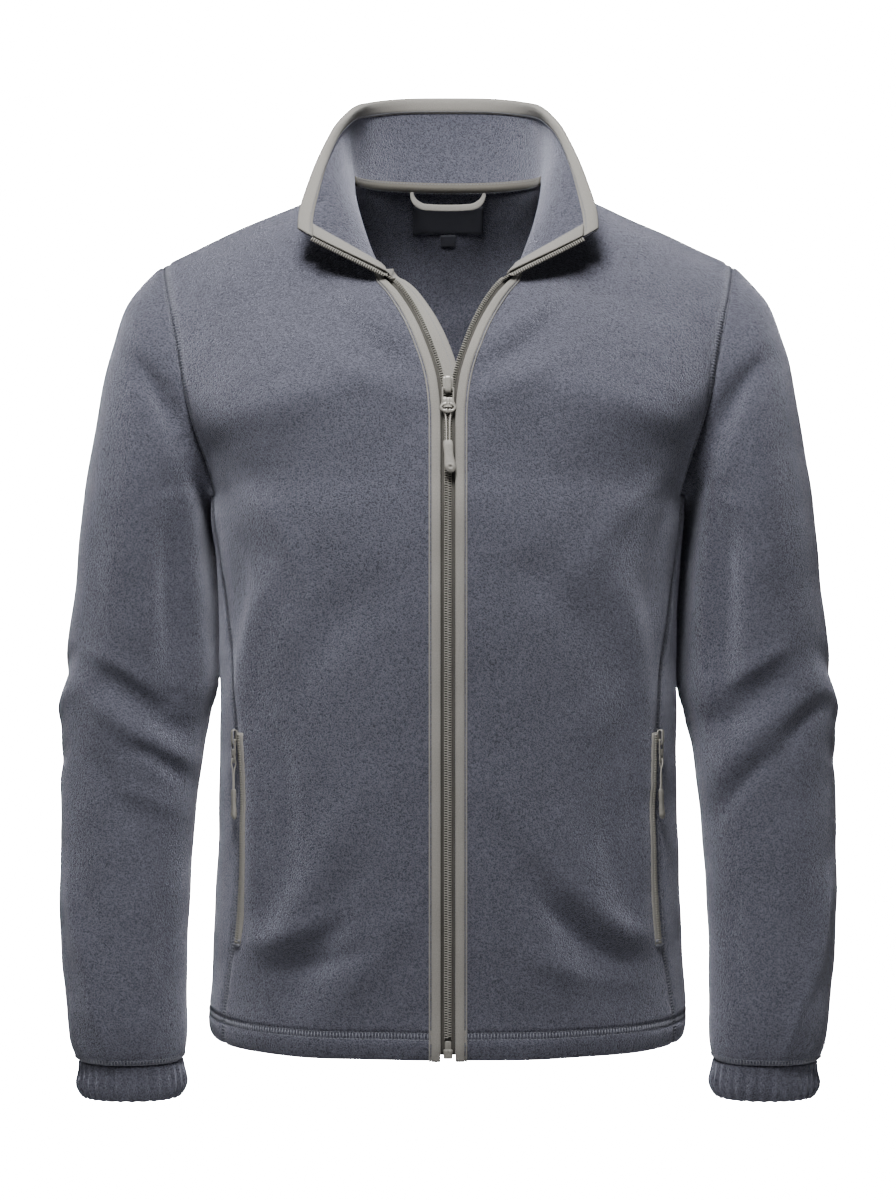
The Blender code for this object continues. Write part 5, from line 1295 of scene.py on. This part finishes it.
def sideSeam(side, distances):
    # lines on the front panel at distances from the side seam, over the pocket's height
    outer, _, n = walls["front_" + side]
    flip = slice(None, None, -1 if side == "left" else 1)
    grid, ways = outer[:armpitRow + 1, flip], n[:armpitRow + 1, flip]
    rows = (grid[:, 0, 2] > pocket["bottom"]) & (grid[:, 0, 2] < pocket["top"])
    points, ways = linesAt(grid[rows], ways[rows], distances, reach=20)
    return points, unit(ways)


def addPocketZip(side):
    # a narrow tape in the seam with one line of coil, tacked at its foot
    sections = stripSections(*sideSeam(side, pocket["across"]), pocket["heights"], 0.25)
    addLoft("pocket_zip_cloth_" + side, sections, "zip_tape_weave", replaces=["pocket_zip_" + side])
    points, ways = sideSeam(side, [pocket["coilAt"], 0.5])
    along, away, up = edgeFrame(points, ways)
    addTeeth("pocket_zip_teeth_" + side, points[:, 0] + up * pocket["coilLift"], along, away, up, 0.3)
    tack, way = sideSeam(side, np.linspace(0.6, 10.4, 8))
    for k in (0, 1):
        sew(tack[k] + way[k] * pocket["tackLift"], way[k], "tack")


# The zip pulls. Places are (across, down the zip from the slider's top, out from its seat).

pulls = {
    "main_pull": {
        "joint": "main_pull_hinge", "nodes": "zip_", "up": (0.0, 0.137, 0.991),
        "plate": (8.4, 12.0, 1.4), "arch": (4.9, 13.8, 5.0), "hinge": (10.2, 2.9),
        "legSpread": 8.2, "ring": (12.4, 8.4), "ringAt": 24.8,
        "eyes": (-2.8, 2.8), "eyeRadius": 1.4, "cord": 1.3, "strandGap": 2.5, "gripAt": 50.0,
        "grip": (7.4, 7.0, 8.8), "gripLength": 24.6, "gripOut": (2.9, 4.3), "lean": 2.4},
    "pocket_pull_left": {
        "joint": "pocket_pull_left_hinge", "nodes": "pocket_left_", "up": (0.0, 0.0, 1.0),
        "plate": (6.4, 10.0, 1.2), "arch": (4.2, 12.5, 4.6), "hinge": (8.5, 2.6),
        "legSpread": 6.6, "ring": (7.6, 7.6), "ringAt": 22.5,
        "eyes": (0.0,), "eyeRadius": 1.95, "cord": 1.1, "strandGap": 1.9, "gripAt": 46.5,
        "grip": (6.6, 5.8, 7.4), "gripLength": 23.5, "gripOut": (2.6, 2.9), "lean": 2.0},
}
pulls["pocket_pull_right"] = {**pulls["pocket_pull_left"], "joint": "pocket_pull_right_hinge",
                              "nodes": "pocket_right_"}


def pullPlace(pull):
    # carries local places to the part's own frame
    joint = next(j for j in frame["joints"] if j["name"] == pull["joint"])
    x = -np.array(joint["axis"], float)
    z = unit(np.array(pull["up"]))
    y = np.cross(z, x)
    seat = np.array(joint["pos_m"], float) / mm + y * pull["hinge"][1] + z * pull["hinge"][0]
    return lambda p: seat + p[..., :1] * x - p[..., 1:2] * z - p[..., 2:] * y


def joined(shapes):
    # shapes put together as one mesh, every one facing outwards
    points, quads, start = [], [], 0
    for p, q in shapes:
        p = p.reshape(-1, 3)
        points.append(p)
        quads.append((q if volume(p - p.mean(axis=0), q) > 0 else q[:, ::-1]) + start)
        start += len(p)
    return np.concatenate(points), np.concatenate(quads)


def swept(path, across, wide, high, count=12, power=0.6):
    path = np.array(path, float)
    sections = sweep(path, np.broadcast_to(np.array(across, float), path.shape), wide, high, count, power)
    return sections, loftQuads(*sections.shape[:2])


def plateShape(rows, out, half, count=16):
    # a flat plate from rows of (down, half width, how thick)
    rows = np.array(rows, float)
    c, s = superellipse(turns(count), 0.45, 0.6)
    sections = np.stack([rows[:, 1:2] * c, rows[:, :1] + 0 * c, out + half * rows[:, 2:] * s], axis=2)
    return sections, loftQuads(len(rows), count)


def smoothPath(places, count):
    # a smooth curve through places that are equally far apart in its parameter
    at = np.arange(len(places))
    return smoothCurve(at, np.array(places, float), np.linspace(0, at[-1], count))


def eyeShape(pull, eye):
    # the plate round one eye: from the eye's rim to the oval's outline, or to the middle between two eyes
    wide, tall = pull["ring"][0] / 2, pull["ring"][1] / 2
    turn = np.linspace(0, 2 * math.pi, 40, endpoint=False)
    c, s = np.cos(turn), np.sin(turn)
    # where a ray from the eye meets the oval
    a = (c / wide) ** 2 + (s / tall) ** 2
    b = eye * c / wide**2
    reach = (-b + np.sqrt(b * b - a * ((eye / wide) ** 2 - 1))) / a
    if eye:
        inward = -c * np.sign(eye)
        middle = (abs(eye) + 0.1) / np.maximum(inward, 0.05)
        reach = np.where(inward > 0.05, np.minimum(reach, middle), reach)
    out = pull["hinge"][1]
    # round the plate's section: at the rim (0) or the outline (1), how far from it, and the height
    spots = [(0, 0.0, -0.3), (0, 0.12, -0.55), (1, -0.35, -0.6), (1, 0.0, -0.3), (1, 0.0, 0.3),
             (1, -0.35, 0.6), (0, 0.3, 0.78), (0, 0.0, 0.35)]
    rim = pull["eyeRadius"] + 0 * reach
    radius = np.stack([(reach if k else rim) + d for k, d, _ in spots], axis=1)
    lift = np.array([h for _, _, h in spots]) + 0 * radius
    points = np.stack([eye + radius * c[:, None], pull["ringAt"] + radius * s[:, None], out + lift], axis=2)
    rows, cols = len(turn), len(spots)
    row, spot = np.arange(rows)[:, None], np.arange(cols)[None]
    here, after, nextSpot = row * cols, (row + 1) % rows * cols, (spot + 1) % cols
    quads = np.stack([here + spot, after + spot, after + nextSpot, here + nextSpot], axis=2)
    return points, quads.reshape(-1, 4)


def sliderShapes(pull):
    wide, length, thick = pull["plate"]
    archWide, archLong, top = pull["arch"]
    half, rise, count = wide / 2, top - 0.6, 34
    plate = plateShape([(1.0, half * 0.72, 0.5), (1.3, half * 0.9, 0.8), (2.2, half, 1.0), (4.5, half, 1.0),
                        (length - 3, half * 0.93, 1.0), (length - 1, half * 0.88, 1.0),
                        (length - 0.3, half * 0.8, 0.8), (length, half * 0.66, 0.5)], thick / 2, thick / 2)
    path = smoothPath([(0, 1.3, 1.0), (0, 0.75, 2.2), (0, 1.2, rise - 0.6), (0, 2.6, rise - 0.05),
                       (0, 5.0, rise), (0, 8.5, rise), (0, archLong - 2.3, rise - 0.1),
                       (0, archLong - 1.0, rise - 0.8), (0, archLong - 0.65, 2.2),
                       (0, archLong - 1.3, 1.0)], count)
    share = np.interp(np.linspace(0, 1, count), [0, 0.2, 0.35, 0.75, 1], [1.0, 0.9, 1.0, 0.96, 0.8])
    return [plate, swept(path, (1.0, 0, 0), archWide / 2 * share, 0.6, 14)]


def tabShapes(pull):
    hinge, out = pull["hinge"]
    s, ringAt = pull["legSpread"] / 2, pull["ringAt"]
    wide, tall = pull["ring"][0] / 2, pull["ring"][1] / 2
    shapes = [eyeShape(pull, eye) for eye in pull["eyes"]]
    bar = [(x, hinge, out) for x in np.linspace(-s, s, 5)]
    shapes.append(swept(bar, (0, 1.0, 0), 0.62, 0.62, 10, 1.0))
    for turned in (-1, 1):
        leg = [(s - 0.7, hinge - 0.35), (s - 0.1, hinge + 0.1), (s, hinge + 1.5), (s, hinge + 6),
               (s, ringAt - tall - 0.6), (min(s + 0.35, wide - 0.9), ringAt - tall + 0.9),
               (wide - 1.0, ringAt - 1.6)]
        leg = smoothPath([(turned * x, a, out) for x, a in leg], 19)
        shapes.append(swept(leg, np.cross(np.gradient(leg, axis=0), [0, 0, 1.0]), 0.66, 0.6, 10, 0.7))
    low = ringAt - tall + 1.3
    web = [(hinge + 7.0, s - 0.3, 0.6), (hinge + 7.4, s, 1.0), (low - 1, s + 0.1, 1.0), (low, s, 0.8)]
    shapes.append(plateShape(web, out, 0.45))
    for x in (-1.15, 1.15):
        rib = [(x * s / 4.1, a, out + 0.45) for a in np.linspace(hinge + 7.3, low + 0.4, 6)]
        shapes.append(swept(rib, (1.0, 0, 0), 0.5, 0.32, 8, 0.8))
    return shapes


def cordLine(pull):
    # the loop of cord: up behind the plate, through the eyes, over the front and down again
    out, half, ringAt = pull["hinge"][1], pull["strandGap"] / 2, pull["ringAt"]
    low, end = ringAt + pull["ring"][1] / 2, pull["gripAt"] + 1.0
    r = pull["cord"] / 2
    behind, over = out - 0.85 - r, out + 0.85 + r
    if len(pull["eyes"]) == 2:
        eye = pull["eyes"][1]
        strand = [(half, end, out), (half, end - 9, out), (half + 0.3, low + 5, out - 0.6),
                  (half + 0.7, low + 1.5, behind), (eye - 0.1, ringAt + 2.2, behind),
                  (eye, ringAt + 0.5, behind + 0.35), (eye, ringAt - 0.1, out),
                  (eye - 0.5, ringAt - 0.3, over - 0.25), (eye - 1.4, ringAt - 0.3, over),
                  (0.0, ringAt - 0.3, over)]
        return strand + [(-x, a, o) for x, a, o in strand[-2::-1]]
    return [(-half, end, out), (-half, end - 7, out), (-half, low + 4, out + 0.6),
            (-half + 0.1, low + 1.2, over), (-0.5, ringAt + 2.6, over), (-0.15, ringAt + 0.9, over - 0.5),
            (0.0, ringAt + 0.3, out), (0.15, ringAt + 0.9, behind + 0.5), (0.5, ringAt + 2.6, behind),
            (half - 0.1, low + 1.2, behind), (half, low + 4, out - 0.6), (half, end - 7, out),
            (half, end, out)]


def cordSections(pull):
    # a round cord whose strands wind round it, as a slow wave of its radius
    line = np.array(cordLine(pull), float)
    run, count = runOf(line), 10
    path = smoothCurve(run, line, np.linspace(0, run[-1], int(run[-1] / 0.4)))
    sections = sweep(path, np.broadcast_to([1.0, 0.3, 0.2], path.shape), 1.0, 1.0, count, 1.0)
    radius = pull["cord"] / 2 * (1 + 0.09 * np.sin(runOf(path)[:, None] * 5.2 + 2 * turns(count)))
    return path[:, None] + (sections - path[:, None]) * radius[..., None]


def gripSections(pull):
    # a moulded grip with a waist, swelling round the small eye near its foot
    top, waist, bulb = pull["grip"]
    t = np.r_[0, 0.012, 0.03, 0.055, 0.09, np.linspace(0.14, 0.9, 30), 0.925, 0.95, 0.97, 0.985, 1.0]
    width = np.interp(t, [0, 0.03, 0.12, 0.45, 0.82, 0.92, 0.98, 1.0],
                      [top * 0.7, top * 0.93, top, waist, bulb, bulb * 0.86, bulb * 0.5, bulb * 0.2])
    thick = np.interp(t, [0, 0.12, 0.5, 0.85, 0.97, 1.0], [2.2, 3.4, 3.0, 3.7, 2.2, 0.9])
    c, s = superellipse(np.linspace(0, 2 * math.pi, 36, endpoint=False), 0.8)
    along = (pull["gripAt"] + t * pull["gripLength"])[:, None] + 0 * c
    x = (pull["lean"] * t**1.6)[:, None] + width[:, None] / 2 * c
    seat = np.interp(t, [0, 0.8, 1], [pull["gripOut"][0], pull["gripOut"][1], pull["gripOut"][1]])
    o = seat[:, None] + thick[:, None] / 2 * s
    away = np.hypot(x - pull["lean"] * 0.74, along - pull["gripAt"] - 0.83 * pull["gripLength"])
    rim = 0.4 * np.exp(-((away - 1.9) / 0.55) ** 2) - 1.5 / (1 + np.exp((away - 0.95) / 0.16))
    return np.stack([x, along, o + rim * (s > 0.25)], axis=2)


def addPull(body):
    pull = pulls[body]
    place, nodes = pullPlace(pull), pull["nodes"]
    for part, shapes, rider in (("slider", sliderShapes(pull), jacket), ("tab", tabShapes(pull), body)):
        points, quads = joined(shapes)
        addPiece(nodes + part + "_metal", place(points), quads, "painted_metal", rider, [nodes + part])
    addLoft(nodes + "cord_braid", place(cordSections(pull)), "cord_braid", body, [nodes + "cord"])
    addLoft(nodes + "grip_moulding", place(gripSections(pull)), "grip_rubber", body, [nodes + "grip"])


# The box and pin at the foot of the main zip: half width and thickness
zipFoot = {"box": (3.55, 2.6), "pin": (2.4, 1.8), "length": 7.3}


def addZipFoot():
    low, high = (np.array(v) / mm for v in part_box("zip_box"))
    seat = np.array([0.0, high[1] - 0.1, low[2] + zipFoot["length"]])
    (wide, thick), (slim, pinThick) = zipFoot["box"], zipFoot["pin"]
    box = plateShape([(0, wide * 0.8, 0.7), (0.4, wide, 1.0), (3.4, wide, 1.0), (3.8, wide * 0.93, 0.9),
                      (4.2, wide, 1.0), (6.8, wide, 1.0), (7.3, wide * 0.8, 0.7)], thick / 2, thick / 2)
    pin = plateShape([(-6.4, slim * 0.7, 0.6), (-5.9, slim, 1.0), (0.0, slim, 1.0), (3.0, slim, 1.0)],
                     thick / 2, pinThick / 2, 12)
    ridge = plateShape([(-6.0, 0.35, 0.6), (-5.6, 0.45, 1.0), (6.6, 0.45, 1.0), (7.0, 0.35, 0.6)],
                       thick - 0.1, 0.3, 12)
    points, quads = joined([box, pin, ridge])
    across, down, out = points.T
    addPiece("zip_box_metal", seat + np.stack([across, -out, -down], axis=1), quads, "painted_metal",
             replaces=["zip_box"])


edgeLines = {side: addFrontTrims(side) for side in ("right", "left")}
addGuard(edgeLines["right"])
for side in edgeLines:
    addFacing(side, edgeLines[side])
addBinding()
addHanger(addNeckTape())
addLabels()
print("trims made")
for side in ("left", "right"):
    addPocketZip(side)
for body in pulls:
    addPull(body)
addZipFoot()
print("zips and pulls made")


# Stitching on the fleece

def sewPanels():
    for name in ("front_left", "front_right", "side_left", "side_right", "back"):
        coverStitch(shown[name][0], normals[name], hemRows, "low")
    low, arm = slice(armpitRow + 1), slice(armpitRow, None)
    for side, last, first in (("left", "last", "first"), ("right", "first", "last")):
        borders = [("front_" + side, arm, yokeRows, last), ("side_" + side, low, sideRows, first),
                   ("back", arm, yokeRows, first), ("back", low, sideRows, first)]
        for name, rows, needles, border in borders:
            coverStitch(shown[name][0][rows], normals[name][rows], needles, border)
        ring, way = (np.concatenate([grid, grid[:, :1]], axis=1)
                     for grid in (shown["sleeve_" + side][0], normals["sleeve_" + side]))
        coverStitch(ring, way, wristRows, "high")


sewPanels()
addPiece("sewing_thread", np.concatenate(threadPoints), np.concatenate(threadQuads), "fleece_thread")
print("stitches sewn:", len(threadQuads), "lines")


# Camera, light and floor

studioLight = {"backdrop": 40.0, "ambient": 0.028, "aim": (0, 0, -0.35)}
# name, place in metres, diameter and power
lamps = [("key", (-0.12, -0.84, 0.78), 0.45, 31), ("above", (-0.1, -0.8, 1.9), 0.8, 13),
         ("left", (-1.9, -0.9, 0.4), 0.8, 4), ("right", (1.9, -1.0, 0.4), 0.8, 3.5),
         ("rear", (0.3, 2.1, 0.3), 1.6, 24)]
shot = {"lens": 90.0, "sensor": 36.0, "place": (0.0, -2.4, -0.2344), "down": 2.35}
floorDisc = {"colour": (0.86, 0.86, 0.86, 1), "roughness": 0.9,
             "radius": 1.2, "bevel": 0.01, "top": -1.15, "sides": 48}


def addCamera():
    cam = bpy.data.cameras.new("camera")
    cam.lens = shot["lens"]
    cam.sensor_fit = "VERTICAL"
    cam.sensor_width = shot["sensor"]
    cam.sensor_height = shot["sensor"]
    view = addObject("camera", cam)
    view.location = shot["place"]
    view.rotation_euler = (math.radians(90 - shot["down"]), 0, 0)
    bpy.context.scene.camera = view


def addLights():
    for name, place, size, power in lamps:
        lamp = bpy.data.lights.new(name, "AREA")
        lamp.shape = "DISK"
        lamp.size = size
        lamp.energy = power
        obj = addObject(name, lamp)
        obj.location = place
        obj.rotation_euler = (Vector(studioLight["aim"]) - Vector(place)).to_track_quat("-Z", "Y").to_euler()
    # the backdrop looks white and lights the cloth softly
    world = bpy.data.worlds.new("studio")
    world.use_nodes = True
    tree = world.node_tree
    seen = addNode(tree, "ShaderNodeLightPath").outputs["Is Camera Ray"]
    ambient = studioLight["ambient"]
    strength = madd(tree, seen, studioLight["backdrop"] - ambient, ambient)
    tree.nodes["Background"].inputs[0].default_value = (1, 1, 1, 1)
    tree.links.new(strength, tree.nodes["Background"].inputs[1])
    bpy.context.scene.world = world


def addFloor():
    # a round pale disc with a slanting edge
    sides, radius, bevel = floorDisc["sides"], floorDisc["radius"], floorDisc["bevel"]
    turn = np.linspace(0, 2 * math.pi, sides, endpoint=False)
    rings = np.array([radius, radius - bevel])[:, None] * np.stack([np.cos(turn), np.sin(turn)])[:, None, :]
    z = np.full((2, sides), floorDisc["top"]) - np.array([[0], [bevel]])
    points = np.stack([rings[0], rings[1], z], axis=2)
    faces = [list(range(sides)), list(range(2 * sides - 1, sides - 1, -1))]
    faces += [[j + sides, (j + 1) % sides + sides, (j + 1) % sides, j] for j in range(sides)]
    mesh = bpy.data.meshes.new("floor")
    mesh.from_pydata(points.reshape(-1, 3).tolist(), [], faces)
    pale = bpy.data.materials.new("pale_floor")
    pale.use_nodes = True
    shader = pale.node_tree.nodes["Principled BSDF"]
    shader.inputs["Base Color"].default_value = floorDisc["colour"]
    shader.inputs["Roughness"].default_value = floorDisc["roughness"]
    mesh.materials.append(pale)
    addObject("floor", mesh)


addCamera()
addLights()
addFloor()
